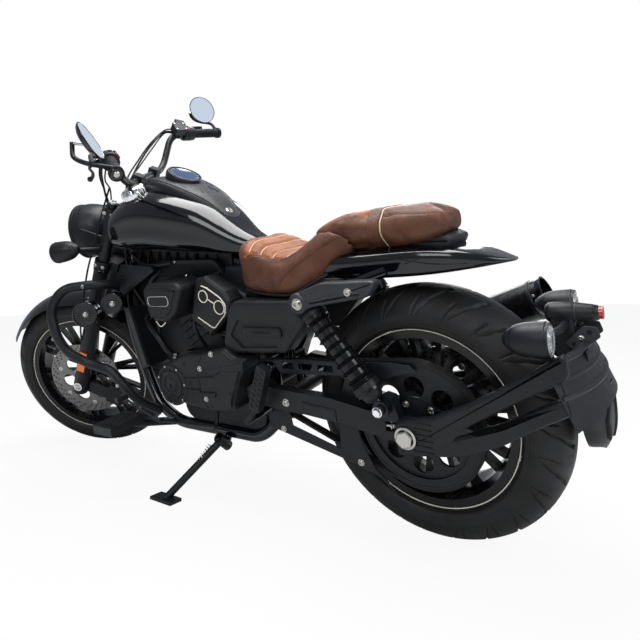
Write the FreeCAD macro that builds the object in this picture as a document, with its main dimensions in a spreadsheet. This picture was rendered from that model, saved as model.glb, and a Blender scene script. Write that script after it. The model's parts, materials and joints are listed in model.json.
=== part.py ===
import FreeCAD, Part
import math
import os
import re
import Sketcher

V = FreeCAD.Vector
Rotation = FreeCAD.Rotation
Placement = FreeCAD.Placement

# Driving sizes of the cruiser, in millimetres and degrees. x runs forward from the rear axle,
# y to the rider's left and z up from the ground, on the upright machine.
SIZES = [
    ("wheelbase", 1457),
    ("rake_angle", 30.2),
    ("trail", 128),
    ("lean_angle", 10.4),
    ("steer_angle", 27),
    ("seat_gap", 0.3),
    ("running_gap", 6),
    ("overrun", 4),
    # rear wheel
    ("rear_tyre_radius", 320),
    ("rear_crown_radius", 101),
    ("rear_shoulder_half", 78),
    ("rear_section_half", 90),
    ("rear_section_drop", 66),
    ("rear_rim_drop", 102),
    ("rear_bead_depth", 10),
    ("rear_rim_half", 70),
    ("rear_flange", 5),
    ("rear_hub_radius", 46),
    ("rear_hub_half", 72),
    ("rear_spoke_width", 15),
    ("rear_spoke_depth", 26),
    # front wheel
    ("front_tyre_radius", 327),
    ("front_crown_radius", 66),
    ("front_shoulder_half", 55),
    ("front_section_half", 65),
    ("front_section_drop", 51),
    ("front_rim_drop", 87),
    ("front_bead_depth", 10),
    ("front_rim_half", 52),
    ("front_flange", 5),
    ("front_hub_radius", 34),
    ("front_hub_half", 58),
    ("front_spoke_width", 12),
    ("front_spoke_depth", 20),
    ("rim_wall", 9),
    ("spoke_pairs", 10),
    # brakes and belt
    ("disc_thickness", 5),
    ("front_disc_radius", 150),
    ("front_disc_band", 34),
    ("front_disc_y", 70),
    ("rear_disc_radius", 130),
    ("rear_disc_band", 34),
    ("rear_disc_y", 96),
    ("disc_carrier", 6),
    ("caliper_gap", 3),
    ("caliper_bridge", 16),
    ("caliper_width", 56),
    ("caliper_span", 80),
    ("front_caliper_angle", 176),
    ("rear_caliper_width", 42),
    ("rear_caliper_angle", 34),
    ("belt_y", 104),
    ("belt_width", 22),
    ("belt_thickness", 6),
    ("pulley_radius", 152),
    ("pulley_band", 24),
    ("pulley_plate", 8),
    ("pulley_windows", 8),
    ("pulley_window_radius", 26),
    ("pulley_window_ring", 92),
    ("drive_pulley_radius", 40),
    ("drive_pulley_x", 520),
    ("drive_pulley_z", 402),
    ("axle_radius", 10),
    ("axle_nut_radius", 17),
    ("axle_nut_thickness", 14),
    ("rear_axle_half", 192),
    ("front_axle_half", 134),
    # steering head and fork
    ("fork_half", 104),
    ("fork_tube_radius", 21),
    ("fork_shroud_radius", 28),
    ("fork_leg_radius", 29),
    ("fork_leg_length", 345),
    ("fork_shroud_length", 205),
    ("fork_length", 775),
    ("fork_foot", 34),
    ("head_radius", 30),
    ("head_length", 160),
    ("stem_radius", 15),
    ("lower_clamp_s", 868),
    ("clamp_thickness", 32),
    ("clamp_wall", 9),
    ("clamp_neck", 60),
    # headlamp
    ("lamp_setback", 239),
    ("lamp_z", 898),
    ("lamp_radius", 98),
    ("lamp_depth", 130),
    ("lamp_rim", 22),
    ("lamp_glass_radius", 86),
    ("lamp_glass_depth", 14),
    ("lamp_ear_height", 45),
    # handlebar
    ("bar_radius", 12.5),
    ("bar_end_a", -86),
    ("bar_end_y", 428),
    ("bar_end_s", 1347),
    ("bar_bend_a", 36),
    ("bar_bend_y", 250),
    ("bar_bend_s", 1326),
    ("bar_clamp_y", 62),
    ("bar_clamp_s", 1212),
    ("riser_radius", 17),
    ("grip_radius", 18),
    ("grip_length", 118),
    ("bar_weight_length", 22),
    ("switch_length", 46),
    ("switch_radius", 27),
    ("lever_radius", 6.5),
    # mirrors
    ("mirror_radius", 42),
    ("mirror_depth", 18),
    ("mirror_a", 2),
    ("mirror_y", 436),
    ("mirror_s", 1408),
    ("mirror_arm_radius", 6),
    ("mirror_glass_depth", 2.4),
    # signals
    ("signal_radius", 35),
    ("signal_length", 92),
    ("signal_lens_depth", 12),
    ("signal_stalk_radius", 9),
    ("reflector_depth", 4.5),
    ("reflector_rise", 120),
    ("front_signal_a", 138),
    ("front_signal_y", 205),
    ("front_signal_s", 942),
    ("rear_signal_x", -272),
    ("rear_signal_y", 150),
    ("rear_signal_z", 549),
    # front fender
    ("fender_gap", 20),
    ("fender_wall", 3),
    ("fender_half", 71),
    ("fender_front_angle", 52),
    ("fender_rear_angle", 62),
    ("fender_lug", 50),
    # frame
    ("frame_tube_radius", 19),
    ("backbone_radius", 26),
    ("rail_radius", 14),
    ("frame_floor_z", 203),
    ("cradle_length", 650),
    ("cradle_height", 500),
    # engine
    ("crank_x", 700),
    ("crank_z", 385),
    ("case_length", 350),
    ("case_height", 230),
    ("case_half", 88),
    ("case_rear_x", 493),
    ("cylinder_lean", 28),
    ("cylinder_length", 176),
    ("cylinder_depth", 118),
    ("cylinder_half", 66),
    ("fin_depth", 8),
    ("fin_width", 6),
    ("head_height", 90),
    ("head_depth", 122),
    ("head_half", 92),
    ("head_bend", 12),
    ("head_cover_low", 167),
    ("head_cover_height", 161),
    ("head_cover_length", 160),
    ("head_cover_depth", 58),
    ("head_cover_bevel", 8),
    ("cover_thickness", 72),
    ("cover_bend", 18),
    ("clutch_x", 759),
    ("clutch_z", 377),
    ("clutch_radius", 66),
    ("intake_x", 792),
    ("intake_z", 632),
    ("intake_y", 196),
    ("intake_length", 118),
    ("intake_height", 122),
    ("intake_bend", 13),
    ("radiator_x", 1040),
    ("radiator_z", 490),
    ("radiator_width", 197),
    ("radiator_height", 220),
    ("radiator_depth", 40),
    ("radiator_tilt", 15),
    # exhaust
    ("pipe_radius", 19),
    ("port_reach", 122),
    ("port_height", 215),
    ("muffler_radius", 52),
    ("muffler_y", 256),
    ("muffler_front_x", 265),
    ("muffler_front_z", 360),
    ("muffler_rear_x", -241),
    ("muffler_rear_z", 549),
    ("muffler_wall", 3),
    ("muffler_mouth", 60),
    ("muffler_relief", 24),
    # tank
    ("tank_rear_x", 470),
    ("tank_length", 570),
    ("tank_half", 172),
    ("tank_floor_z", 752),
    ("tank_height", 252),
    ("console_rear_x", 545),
    ("console_length", 365),
    ("console_half", 98),
    ("gauge_x", 790),
    ("gauge_z", 1006),
    ("gauge_radius", 54),
    ("gauge_depth", 26),
    ("gauge_tilt", 20),
    ("cap_x", 908),
    ("cap_y", 112),
    ("cap_z", 950),
    ("cap_radius", 33),
    ("cap_height", 44),
    # seats
    ("seat_rear_x", 96),
    ("seat_length", 410),
    ("seat_half", 158),
    ("seat_floor_z", 640),
    ("seat_height", 172),
    ("pillion_rear_x", -108),
    ("pillion_length", 350),
    ("pillion_half", 108),
    ("pillion_floor_z", 748),
    ("pillion_height", 80),
    # tail
    ("tail_rear_x", -236),
    ("tail_length", 520),
    ("tail_half", 112),
    ("tail_floor_z", 666),
    ("tail_height", 78),
    ("strut_x", 250),
    ("strut_z", 630),
    ("strut_length", 215),
    ("strut_height", 36),
    ("strut_thickness", 12),
    ("strut_tilt", 9),
    ("strut_y", 191),
    ("strut_turn", 17),
    ("strut_rear_x", 60),
    ("strut_rear_z", 664),
    # swingarm and shocks
    ("pivot_x", 455),
    ("pivot_rise", 46),
    ("arm_height", 56),
    ("arm_thickness", 30),
    ("arm_y", 142),
    ("arm_cross_x", 372),
    ("arm_cross_radius", 20),
    ("arm_cross_drop", 10),
    ("pivot_boss_radius", 31),
    ("spacer_radius", 22),
    ("adjuster_x", 40),
    ("adjuster_rise", 10),
    ("adjuster_length", 40),
    ("adjuster_height", 24),
    ("arm_bend", 7),
    ("shock_top_x", 236),
    ("shock_top_z", 632),
    ("shock_foot_x", 56),
    ("shock_foot_rise", 58),
    ("spring_radius", 33),
    ("spring_wire", 5),
    ("spring_turns", 9),
    ("pin_reach", 30),
    ("damper_radius", 10),
    ("shock_eye", 20),
    ("shock_eye_width", 22),
    # covers and guards
    ("side_cover_x", 394),
    ("side_cover_z", 557),
    ("side_cover_length", 299),
    ("side_cover_height", 152),
    ("side_cover_y", 112),
    ("side_cover_depth", 58),
    ("neck_cover_y", 86),
    ("neck_cover_depth", 12),
    ("guard_sheet", 4),
    ("guard_tube_radius", 16),
    ("pin_radius", 8),
    ("boss_radius", 12),
    # mudguard
    ("mud_arm_thickness", 20),
    ("mud_tilt", 20),
    ("mud_radius", 404),
    ("mud_wall", 14),
    ("mud_height", 124),
    ("mud_bend", 50),
    ("mud_lap", 3),
    ("flap_radius", 378),
    ("flap_wall", 7),
    ("flap_half", 78),
    ("flap_top_angle", 130),
    ("flap_low_angle", 192),
    # tail lamp
    ("tail_lamp_x", -384),
    ("tail_lamp_z", 567),
    ("tail_lamp_length", 84),
    ("tail_lamp_radius", 20),
    ("tail_lens_depth", 8),
    ("plate_length", 40),
    ("plate_width", 96),
    ("stem_width", 40),
    ("stem_depth", 44),
    # horns, pegs and stand
    ("horn_radius", 43),
    ("horn_depth", 40),
    ("horn_x", 1165),
    ("horn_y", 195),
    ("horn_z", 600),
    ("low_horn_x", 1080),
    ("low_horn_y", 140),
    ("low_horn_z", 625),
    ("low_horn_radius", 36),
    ("peg_x", 915),
    ("peg_y", 300),
    ("peg_z", 280),
    ("peg_length", 120),
    ("peg_width", 92),
    ("peg_thickness", 26),
    ("rear_peg_x", 425),
    ("rear_peg_z", 345),
    ("rear_peg_y", 200),
    ("rear_peg_height", 130),
    ("peg_bar_x", 465),
    ("peg_bar_y", 172),
    ("peg_bar_z", 305),
    ("rear_peg_tilt", 23.5),
    ("peg_arm_radius", 13),
    ("stand_pivot_x", 655),
    ("stand_pivot_y", 128),
    ("stand_pivot_z", 190),
    ("stand_foot_x", 767),
    ("stand_foot_y", 292),
    ("stand_leg_radius", 11),
    ("stand_eye", 34),
    ("stand_eye_radius", 16),
    ("stand_boss_length", 20),
    ("stand_foot_length", 92),
    ("stand_foot_width", 44),
    ("stand_foot_thickness", 9),
]

doc = FreeCAD.newDocument("cruiser")
sheet = doc.addObject("Spreadsheet::Sheet", "Sizes")
for row, (alias, value) in enumerate(SIZES, start=1):
    sheet.set("A%d" % row, alias)
    sheet.set("B%d" % row, str(value))
    sheet.setAlias("B%d" % row, alias)
doc.recompute()


class Sized:
    """Reads a size of the sheet by its name."""

    def __getattr__(self, alias):
        return float(sheet.get(alias))


s = Sized()
ALIASES = sorted((alias for alias, value in SIZES), key=len, reverse=True)
ALIAS_PATTERN = re.compile(r"\b(" + "|".join(ALIASES) + r")\b")
FULL_TURN = 360
PARALLEL = 0.999


def bound(text):
    """Turns names of sizes into references to the sheet."""
    return ALIAS_PATTERN.sub(r"Sizes.\1", text)


def value_of(text):
    return float(sheet.evalExpression(bound(text)))


sub_parts = []


def keep(item, name, place=None):
    """Registers a finished sub-part under its name."""
    item.Label = name
    sub_parts.append((item, place or Placement()))
    return item


def feature(name, shape, place=None):
    """A sub-part whose own shape lies at the origin's placement, so that it can be placed."""
    item = doc.addObject("Part::Feature", name)
    item.Shape = Part.makeCompound(shape.Solids)
    return keep(item, name, place)


# Sketches and bodies

def plane_of(body, role):
    return [item for item in body.Origin.OriginFeatures if item.Role == role][0]


def new_sketch(body, name, role):
    sketch = body.newObject("Sketcher::SketchObject", name)
    sketch.AttachmentSupport = (plane_of(body, role), "")
    sketch.MapMode = "FlatFace"
    return sketch


def arc_between(start, end, radius):
    """The short arc from start to end; a positive radius bulges to the right of the way."""
    chord = end - start
    half = chord.Length / 2
    reach = abs(radius)
    rise = math.sqrt(max(reach * reach - half * half, 0))
    side = V(-chord.y, chord.x, 0).normalize()
    centre = (start + end) / 2 + side * math.copysign(rise, radius)
    circle = Part.Circle(centre, V(0, 0, 1), reach)
    first = math.atan2(start.y - centre.y, start.x - centre.x)
    last = math.atan2(end.y - centre.y, end.x - centre.x)
    if radius < 0:
        first, last = last, first
    return Part.ArcOfCircle(circle, first, last)


def outline(body, name, role, corners):
    """A closed sketch whose corners, and the radii of its arcs, are bound to the sheet.

    A corner is (x, y) or (x, y, radius), where the radius belongs to the arc that leaves it.
    """
    sketch = new_sketch(body, name, role)
    spots = [V(value_of(corner[0]), value_of(corner[1]), 0) for corner in corners]
    count = len(corners)
    ends = []
    for index, corner in enumerate(corners):
        start = spots[index]
        end = spots[(index + 1) % count]
        if len(corner) == 2:
            sketch.addGeometry(Part.LineSegment(start, end), False)
            ends.append((1, 2))
        else:
            radius = value_of(corner[2])
            sketch.addGeometry(arc_between(start, end, radius), False)
            ends.append((1, 2) if radius > 0 else (2, 1))
    for index in range(count):
        after = (index + 1) % count
        sketch.addConstraint(Sketcher.Constraint(
            "Coincident", index, ends[index][1], after, ends[after][0]))
    for index, corner in enumerate(corners):
        spot = spots[index]
        for axis, amount, text in (("DistanceX", spot.x, corner[0]), ("DistanceY", spot.y, corner[1])):
            number = sketch.addConstraint(Sketcher.Constraint(
                axis, -1, 1, index, ends[index][0], amount))
            sketch.setExpression("Constraints[%d]" % number, bound(text))
        if len(corner) > 2:
            radius = value_of(corner[2])
            number = sketch.addConstraint(Sketcher.Constraint("Radius", index, abs(radius)))
            sketch.setExpression("Constraints[%d]" % number, "abs(%s)" % bound(corner[2]))
    return sketch


def revolved(body, name, corners):
    """Revolves an outline given as (across, radius) about the wheel's axle, the y axis."""
    sketch = outline(body, name + "_outline", "YZ_Plane", corners)
    item = body.newObject("PartDesign::Revolution", name)
    item.Profile = sketch
    item.ReferenceAxis = (sketch, ["H_Axis"])
    item.Angle = FULL_TURN
    return item


def padded(body, name, role, corners, length, offset=None):
    """Pads an outline both ways from its plane."""
    sketch = outline(body, name + "_outline", role, corners)
    if offset:
        sketch.setExpression("AttachmentOffset.Base.z", bound(offset))
    item = body.newObject("PartDesign::Pad", name)
    item.Profile = sketch
    item.Midplane = True
    item.setExpression("Length", bound(length))
    return item


def round_holes(body, name, ring, radius, depth, count):
    """Drills a ring of round holes along the y axis right through."""
    sketch = new_sketch(body, name + "_outline", "XZ_Plane")
    centre = V(value_of(ring), 0, 0)
    sketch.addGeometry(Part.Circle(centre, V(0, 0, 1), value_of(radius)), False)
    number = sketch.addConstraint(Sketcher.Constraint("Radius", 0, value_of(radius)))
    sketch.setExpression("Constraints[%d]" % number, bound(radius))
    number = sketch.addConstraint(Sketcher.Constraint("DistanceX", -1, 1, 0, 3, centre.x))
    sketch.setExpression("Constraints[%d]" % number, bound(ring))
    sketch.addConstraint(Sketcher.Constraint("PointOnObject", 0, 3, -1))
    item = body.newObject("PartDesign::Pocket", name)
    item.Profile = sketch
    item.Midplane = True
    item.setExpression("Length", bound(depth))
    return around(body, name, item, count)


def around(body, name, item, count):
    pattern = body.newObject("PartDesign::PolarPattern", name + "_ring")
    pattern.Originals = [item]
    pattern.Axis = (plane_of(body, "Y_Axis"), [""])
    pattern.Angle = FULL_TURN
    pattern.setExpression("Occurrences", bound(count))
    body.Tip = pattern
    return pattern


def new_body(name):
    body = doc.addObject("PartDesign::Body", name)
    body.AllowCompound = True
    return body


# Free shapes

def pipe(points, radius, bend_share=0.45):
    """A round tube along straight runs joined by tangent arcs, as large as the runs allow."""
    spots = [V(*point) for point in points]
    edges = []
    last = spots[0]
    for before, corner, after in zip(spots, spots[1:], spots[2:]):
        run_in = corner - before
        run_out = after - corner
        turn = run_in.getAngle(run_out)
        setback = bend_share * min(run_in.Length, run_out.Length)
        first = corner - run_in.normalize() * setback
        second = corner + run_out.normalize() * setback
        inward = (first + second) / 2 - corner
        bend = setback / math.tan(turn / 2)
        middle = corner + inward.normalize() * (math.hypot(bend, setback) - bend)
        edges.append(Part.LineSegment(last, first).toShape())
        edges.append(Part.Arc(first, middle, second).toShape())
        last = second
    edges.append(Part.LineSegment(last, spots[-1]).toShape())
    path = Part.Wire(edges)
    start = spots[1] - spots[0]
    ring = Part.Wire([Part.Circle(spots[0], start, radius).toShape()])
    return path.makePipeShell([ring], True, False)


def closed_curve(points):
    curve = Part.BSplineCurve()
    curve.interpolate([V(*point) for point in points], PeriodicFlag=True)
    return Part.Wire([curve.toShape()])


def polygon(points):
    spots = [V(*point) for point in points]
    return Part.Wire(Part.makePolygon(spots + [spots[0]]).Edges)


def rounded_plate(points, direction, corner_radius):
    """A plate cut along a flat outline, with its corners rounded."""
    solid = Part.Face(polygon(points)).extrude(direction)
    way = V(direction).normalize()
    upright = [edge for edge in solid.Edges
               if len(edge.Vertexes) == 2 and abs(edge.tangentAt(edge.FirstParameter).dot(way)) > PARALLEL]
    if corner_radius:
        solid = solid.makeFillet(corner_radius, upright)
    return solid


def spots(shares, corner, length, height, y=0):
    """Places in an upright plane, from shares of a length and a height measured from a corner."""
    return [V(corner[0] + a * length, y, corner[1] + b * height) for a, b in shares]


def bar(start, end, radius):
    way = V(*end) - V(*start)
    return Part.makeCylinder(radius, way.Length, V(*start), way)


def cone(start, end, first, last):
    way = V(*end) - V(*start)
    return Part.makeCone(first, last, way.Length, V(*start), way)


def box(centre, size):
    return Part.makeBox(size[0], size[1], size[2], V(*centre) - V(*size) / 2)


def turned(shape, centre, axis, angle):
    shape = shape.copy()
    shape.rotate(V(*centre), V(*axis), angle)
    return shape


def joined(shapes):
    whole = shapes[0].fuse(shapes[1:]) if len(shapes) > 1 else shapes[0]
    return whole.removeSplitter()


def mirrored(shape):
    return shape.mirror(V(0, 0, 0), V(0, 1, 0))


def placed(shape, place):
    """Moves a shape rigidly, so that its planes and cylinders stay true."""
    moved = shape.copy()
    moved.Placement = place.multiply(moved.Placement)
    return moved


def largest(shape):
    return sorted(shape.Solids, key=lambda solid: solid.Volume)[-1]


def shape_of(name):
    """The shape of a finished sub-part of the chassis."""
    return [item.Shape for item, place in sub_parts if item.Label == name][0]


def both_sides(shape):
    return Part.makeCompound([shape, mirrored(shape)])


# Frames of reference: the steering frame has its z along the steering axis and its x forward.

def steering_frame():
    foot = V(s.wheelbase + s.trail, 0, 0)
    return Placement(foot, Rotation(V(0, 1, 0), -s.rake_angle))


def axle_offset():
    rake = math.radians(s.rake_angle)
    return s.front_tyre_radius * math.sin(rake) - s.trail * math.cos(rake)


def axle_height():
    rake = math.radians(s.rake_angle)
    return s.front_tyre_radius * math.cos(rake) + s.trail * math.sin(rake)


def steered_frame():
    turn = Placement(V(0, 0, 0), Rotation(V(0, 0, 1), s.steer_angle))
    return steering_frame().multiply(turn)


def front_wheel_frame():
    """Places a wheel built about the y axis at the origin on the front axle."""
    level = Placement(V(axle_offset(), 0, axle_height()), Rotation(V(0, 1, 0), s.rake_angle))
    return steered_frame().multiply(level)


def in_steering(point):
    """Gives a point of the upright machine with the steering straight in the steering frame."""
    return steering_frame().inverse().multVec(V(*point))


def tyre_low(place, end):
    """The lowest height that a tyre reaches when its axle frame is at this placement."""
    across = place.Rotation.multVec(V(0, 1, 0))
    lows = []
    for share in CROWN_SHARES:
        radius = value_of(crown_radius_text(end, share))
        side = share * value_of(end + "_shoulder_half")
        lows.append(-abs(side * across.z) - radius * math.sqrt(1 - across.z ** 2))
    return place.Base.z + min(lows)


def standing():
    """The placement that leans the machine onto its stand with both tyres on the ground."""
    place = Placement(V(0, 0, 0), Rotation(V(1, 0, 0), -s.lean_angle))
    for step in range(4):
        rear = place.multiply(Placement(V(0, 0, s.rear_tyre_radius), Rotation()))
        front = place.multiply(front_wheel_frame())
        rear_low = tyre_low(rear, "rear")
        front_low = tyre_low(front, "front")
        pitch = math.degrees(math.atan2(front_low - rear_low, s.wheelbase))
        place = Placement(V(0, 0, 0), Rotation(V(0, 1, 0), pitch)).multiply(place)
        place.Base.z -= rear_low
    return place


# Rear wheel

def pivot_z():
    return s.rear_tyre_radius + s.pivot_rise


def shock_foot_z():
    return s.rear_tyre_radius + s.shock_foot_rise


def lamp_x():
    return s.wheelbase - s.lamp_setback


def rear_wheel_place():
    return Placement(V(0, 0, s.rear_tyre_radius), Rotation())


CROWN_SHARES = (1.0, 0.64, 0.24)
BULGE_SHARES = (0.7, 0.35)


def crown_radius_text(end, share):
    """The tyre's radius at this share of the way from its middle to its shoulder, as an expression."""
    return ("{0}_tyre_radius - {0}_crown_radius + sqrt({0}_crown_radius^2 - ({1} * {0}_shoulder_half)^2)"
            .format(end, share))


def tyre(name, end, place):
    """A tyre: crown, sidewalls and the beads behind the rim's flanges."""
    body = new_body(name)
    wide, up = BULGE_SHARES
    half = [
        ("{0}_rim_half - {0}_flange - seat_gap",
         "{0}_tyre_radius - {0}_rim_drop - {0}_bead_depth + seat_gap"),
        ("{0}_rim_half - {0}_flange - seat_gap", "{0}_tyre_radius - {0}_rim_drop + seat_gap"),
        ("{0}_rim_half", "{0}_tyre_radius - {0}_rim_drop + seat_gap"),
        ("{0}_rim_half + %s * ({0}_section_half - {0}_rim_half)" % wide,
         "{0}_tyre_radius - {0}_rim_drop + %s * ({0}_rim_drop - {0}_section_drop)" % up),
        ("{0}_section_half", "{0}_tyre_radius - {0}_section_drop"),
    ]
    half = [tuple(text.format(end) for text in corner) for corner in half]
    for share in CROWN_SHARES:
        half.append(("%s * %s_shoulder_half" % (share, end), crown_radius_text(end, share)))
    other = [("-(%s)" % across, radius) for across, radius in reversed(half)]
    revolved(body, name + "_turn", half + other)
    keep(body, name, place)


def rim(name, end, place):
    """A cast rim: barrel with two flanges, bored hub and pairs of spokes."""
    body = new_body(name)
    barrel = [
        ("{0}_rim_half", "{0}_tyre_radius - {0}_rim_drop - {0}_bead_depth - rim_wall"),
        ("{0}_rim_half", "{0}_tyre_radius - {0}_rim_drop"),
        ("{0}_rim_half - {0}_flange", "{0}_tyre_radius - {0}_rim_drop"),
        ("{0}_rim_half - {0}_flange", "{0}_tyre_radius - {0}_rim_drop - {0}_bead_depth"),
        ("-({0}_rim_half - {0}_flange)", "{0}_tyre_radius - {0}_rim_drop - {0}_bead_depth"),
        ("-({0}_rim_half - {0}_flange)", "{0}_tyre_radius - {0}_rim_drop"),
        ("-{0}_rim_half", "{0}_tyre_radius - {0}_rim_drop"),
        ("-{0}_rim_half", "{0}_tyre_radius - {0}_rim_drop - {0}_bead_depth - rim_wall"),
        ("-{0}_rim_half / 2", "{0}_tyre_radius - {0}_rim_drop - {0}_bead_depth - 2 * rim_wall"),
        ("{0}_rim_half / 2", "{0}_tyre_radius - {0}_rim_drop - {0}_bead_depth - 2 * rim_wall"),
    ]
    hub = [
        ("{0}_hub_half", "axle_radius + seat_gap"),
        ("{0}_hub_half", "{0}_hub_radius * 0.8"),
        ("{0}_hub_half * 0.6", "{0}_hub_radius"),
        ("-{0}_hub_half * 0.6", "{0}_hub_radius"),
        ("-{0}_hub_half", "{0}_hub_radius * 0.8"),
        ("-{0}_hub_half", "axle_radius + seat_gap"),
    ]
    revolved(body, name + "_barrel", [tuple(t.format(end) for t in c) for c in barrel])
    revolved(body, name + "_hub", [tuple(t.format(end) for t in c) for c in hub])
    reach = "{0}_tyre_radius - {0}_rim_drop - {0}_bead_depth - 1.5 * rim_wall".format(end)
    start = "{0}_hub_radius * 0.9".format(end)
    width = "{0}_spoke_width".format(end)
    spoke = [
        (start, "-%s / 2" % width),
        (reach, "%s" % width),
        (reach, "%s * 2" % width),
        (start, "%s / 2" % width),
    ]
    item = padded(body, name + "_spoke", "XZ_Plane", spoke, "{0}_spoke_depth".format(end))
    around(body, name + "_spokes", item, "spoke_pairs")
    spoke = [
        (start, "-%s / 2" % width),
        (reach, "-%s * 2" % width),
        (reach, "-%s" % width),
        (start, "%s / 2" % width),
    ]
    item = padded(body, name + "_twin", "XZ_Plane", spoke, "{0}_spoke_depth".format(end))
    around(body, name + "_twins", item, "spoke_pairs")
    keep(body, name, place)


def brake_disc(name, end, side, place):
    """A brake disc: braking band on a thin carrier that reaches in to the hub."""
    body = new_body(name)
    inner = "{0}_disc_y - disc_thickness / 2".format(end)
    outer = "{0}_disc_y + disc_thickness / 2".format(end)
    band = [
        ("%s(%s)" % (side, inner), "{0}_disc_radius - {0}_disc_band".format(end)),
        ("%s(%s)" % (side, outer), "{0}_disc_radius - {0}_disc_band".format(end)),
        ("%s(%s)" % (side, outer), "{0}_disc_radius".format(end)),
        ("%s(%s)" % (side, inner), "{0}_disc_radius".format(end)),
    ]
    carrier = [
        ("%s(%s_hub_half + seat_gap)" % (side, end), "{0}_hub_radius * 0.6".format(end)),
        ("%s(%s)" % (side, outer), "{0}_hub_radius * 0.6".format(end)),
        ("%s(%s)" % (side, outer), "{0}_hub_radius".format(end)),
        ("%s(%s)" % (side, outer), "{0}_disc_radius - {0}_disc_band + disc_carrier".format(end)),
        ("%s(%s)" % (side, inner), "{0}_disc_radius - {0}_disc_band + disc_carrier".format(end)),
        ("%s(%s)" % (side, inner), "{0}_hub_radius".format(end)),
        ("%s(%s_hub_half + seat_gap)" % (side, end), "{0}_hub_radius * 0.8".format(end)),
    ]
    revolved(body, name + "_band", band)
    revolved(body, name + "_carrier", carrier)
    ring = "({0}_disc_radius - {0}_disc_band + {0}_hub_radius) / 2".format(end)
    hole = "({0}_disc_radius - {0}_disc_band - {0}_hub_radius) / 3".format(end)
    round_holes(body, name + "_window", ring, hole, "4 * {0}_disc_y".format(end), "6")
    keep(body, name, place)


def pulley():
    """The rear belt pulley: toothed band, plate with round windows and a boss on the hub."""
    body = new_body("belt_pulley")
    rim_in = "belt_y - belt_width / 2"
    rim_out = "belt_y + belt_width / 2"
    band = [
        (rim_in, "pulley_radius - pulley_band"),
        (rim_out, "pulley_radius - pulley_band"),
        (rim_out, "pulley_radius"),
        (rim_in, "pulley_radius"),
    ]
    plate = [
        ("rear_hub_half + seat_gap", "axle_radius * 2"),
        ("belt_y + pulley_plate / 2", "axle_radius * 2"),
        ("belt_y + pulley_plate / 2", "pulley_radius - pulley_band / 2"),
        ("belt_y - pulley_plate / 2", "pulley_radius - pulley_band / 2"),
        ("belt_y - pulley_plate / 2", "rear_hub_radius"),
        ("rear_hub_half + seat_gap", "rear_hub_radius"),
    ]
    revolved(body, "pulley_band_turn", band)
    revolved(body, "pulley_plate_turn", plate)
    round_holes(body, "pulley_window", "pulley_window_ring", "pulley_window_radius",
                "4 * belt_y", "pulley_windows")
    keep(body, "belt_pulley", rear_wheel_place())


# Fork and what turns with it, in the steering frame

def fork_legs():
    offset = axle_offset()
    height = axle_height()
    low = height - s.fork_foot
    top = height + s.fork_length
    nut_start = s.front_axle_half - s.axle_nut_thickness - s.seat_gap
    legs = []
    for y in (s.fork_half, -s.fork_half):
        side = math.copysign(1, y)
        leg = bar((offset, y, low), (offset, y, low + s.fork_leg_length), s.fork_leg_radius)
        tube = bar((offset, y, low), (offset, y, top), s.fork_tube_radius)
        shroud_low = s.lower_clamp_s - s.fork_shroud_length
        shroud = bar((offset, y, shroud_low), (offset, y, s.lower_clamp_s - s.seat_gap),
                     s.fork_shroud_radius)
        whole = joined([leg, tube, shroud])
        bore = bar((offset, 0, height), (offset, 2 * y, height), s.axle_radius + s.seat_gap)
        seat = bar((offset, side * nut_start, height), (offset, 2 * y, height),
                   s.axle_nut_radius + s.seat_gap)
        legs.append(whole.cut(bore).cut(seat))
    feature("fork_legs", Part.makeCompound(legs), steered_frame())


def clamp_plate(low):
    """One yoke: two rings round the fork tubes joined by a web that reaches the stem."""
    offset = axle_offset()
    outer = s.fork_tube_radius + s.clamp_wall
    rings = [bar((offset, y, low), (offset, y, low + s.clamp_thickness), outer)
             for y in (s.fork_half, -s.fork_half)]
    web = box((offset / 2, 0, low + s.clamp_thickness / 2),
              (s.clamp_neck, 2 * s.fork_half, s.clamp_thickness))
    boss = bar((0, 0, low), (0, 0, low + s.clamp_thickness), s.head_radius + s.clamp_wall)
    whole = joined([web, boss] + rings)
    for y in (s.fork_half, -s.fork_half):
        whole = whole.cut(bar((offset, y, low - s.overrun),
                              (offset, y, low + s.clamp_thickness + s.overrun),
                              s.fork_tube_radius + s.seat_gap))
    return whole


def head_low():
    return s.lower_clamp_s + s.clamp_thickness + s.running_gap


def upper_clamp_low():
    return head_low() + s.head_length + s.running_gap


def fork_clamps():
    """Both yokes on their stem, with two risers that grip the handlebar."""
    stem = bar((0, 0, s.lower_clamp_s), (0, 0, upper_clamp_low() + s.clamp_thickness), s.stem_radius)
    risers = []
    for y in (s.bar_clamp_y, -s.bar_clamp_y):
        risers.append(bar((0, y, upper_clamp_low() + s.clamp_thickness / 2),
                          (0, y, s.bar_clamp_s), s.riser_radius))
        risers.append(box((0, y, s.bar_clamp_s), (2 * s.riser_radius, 2 * s.riser_radius,
                                                  2 * (s.bar_radius + s.clamp_wall))))
    shape = joined([clamp_plate(s.lower_clamp_s), clamp_plate(upper_clamp_low()), stem] + risers)
    tube = bar((0, -s.fork_half, s.bar_clamp_s), (0, s.fork_half, s.bar_clamp_s),
               s.bar_radius + s.seat_gap)
    feature("fork_clamps", shape.cut(tube), steered_frame())


def front_axle():
    offset = axle_offset()
    height = axle_height()
    shaft = bar((offset, -s.front_axle_half, height), (offset, s.front_axle_half, height), s.axle_radius)
    nuts = []
    for side in (1, -1):
        nuts.append(bar((offset, side * (s.front_axle_half - s.axle_nut_thickness), height),
                        (offset, side * s.front_axle_half, height), s.axle_nut_radius))
    feature("front_axle", joined([shaft] + nuts), steered_frame())


BOWL_SHARES = [
    (0, 0), (0.0, 0.35), (0.1, 0.62), (0.32, 0.86), (0.62, 0.98), (0.8, 1.0), (1.0, 1.0), (1.0, 0.0),
]


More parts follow.
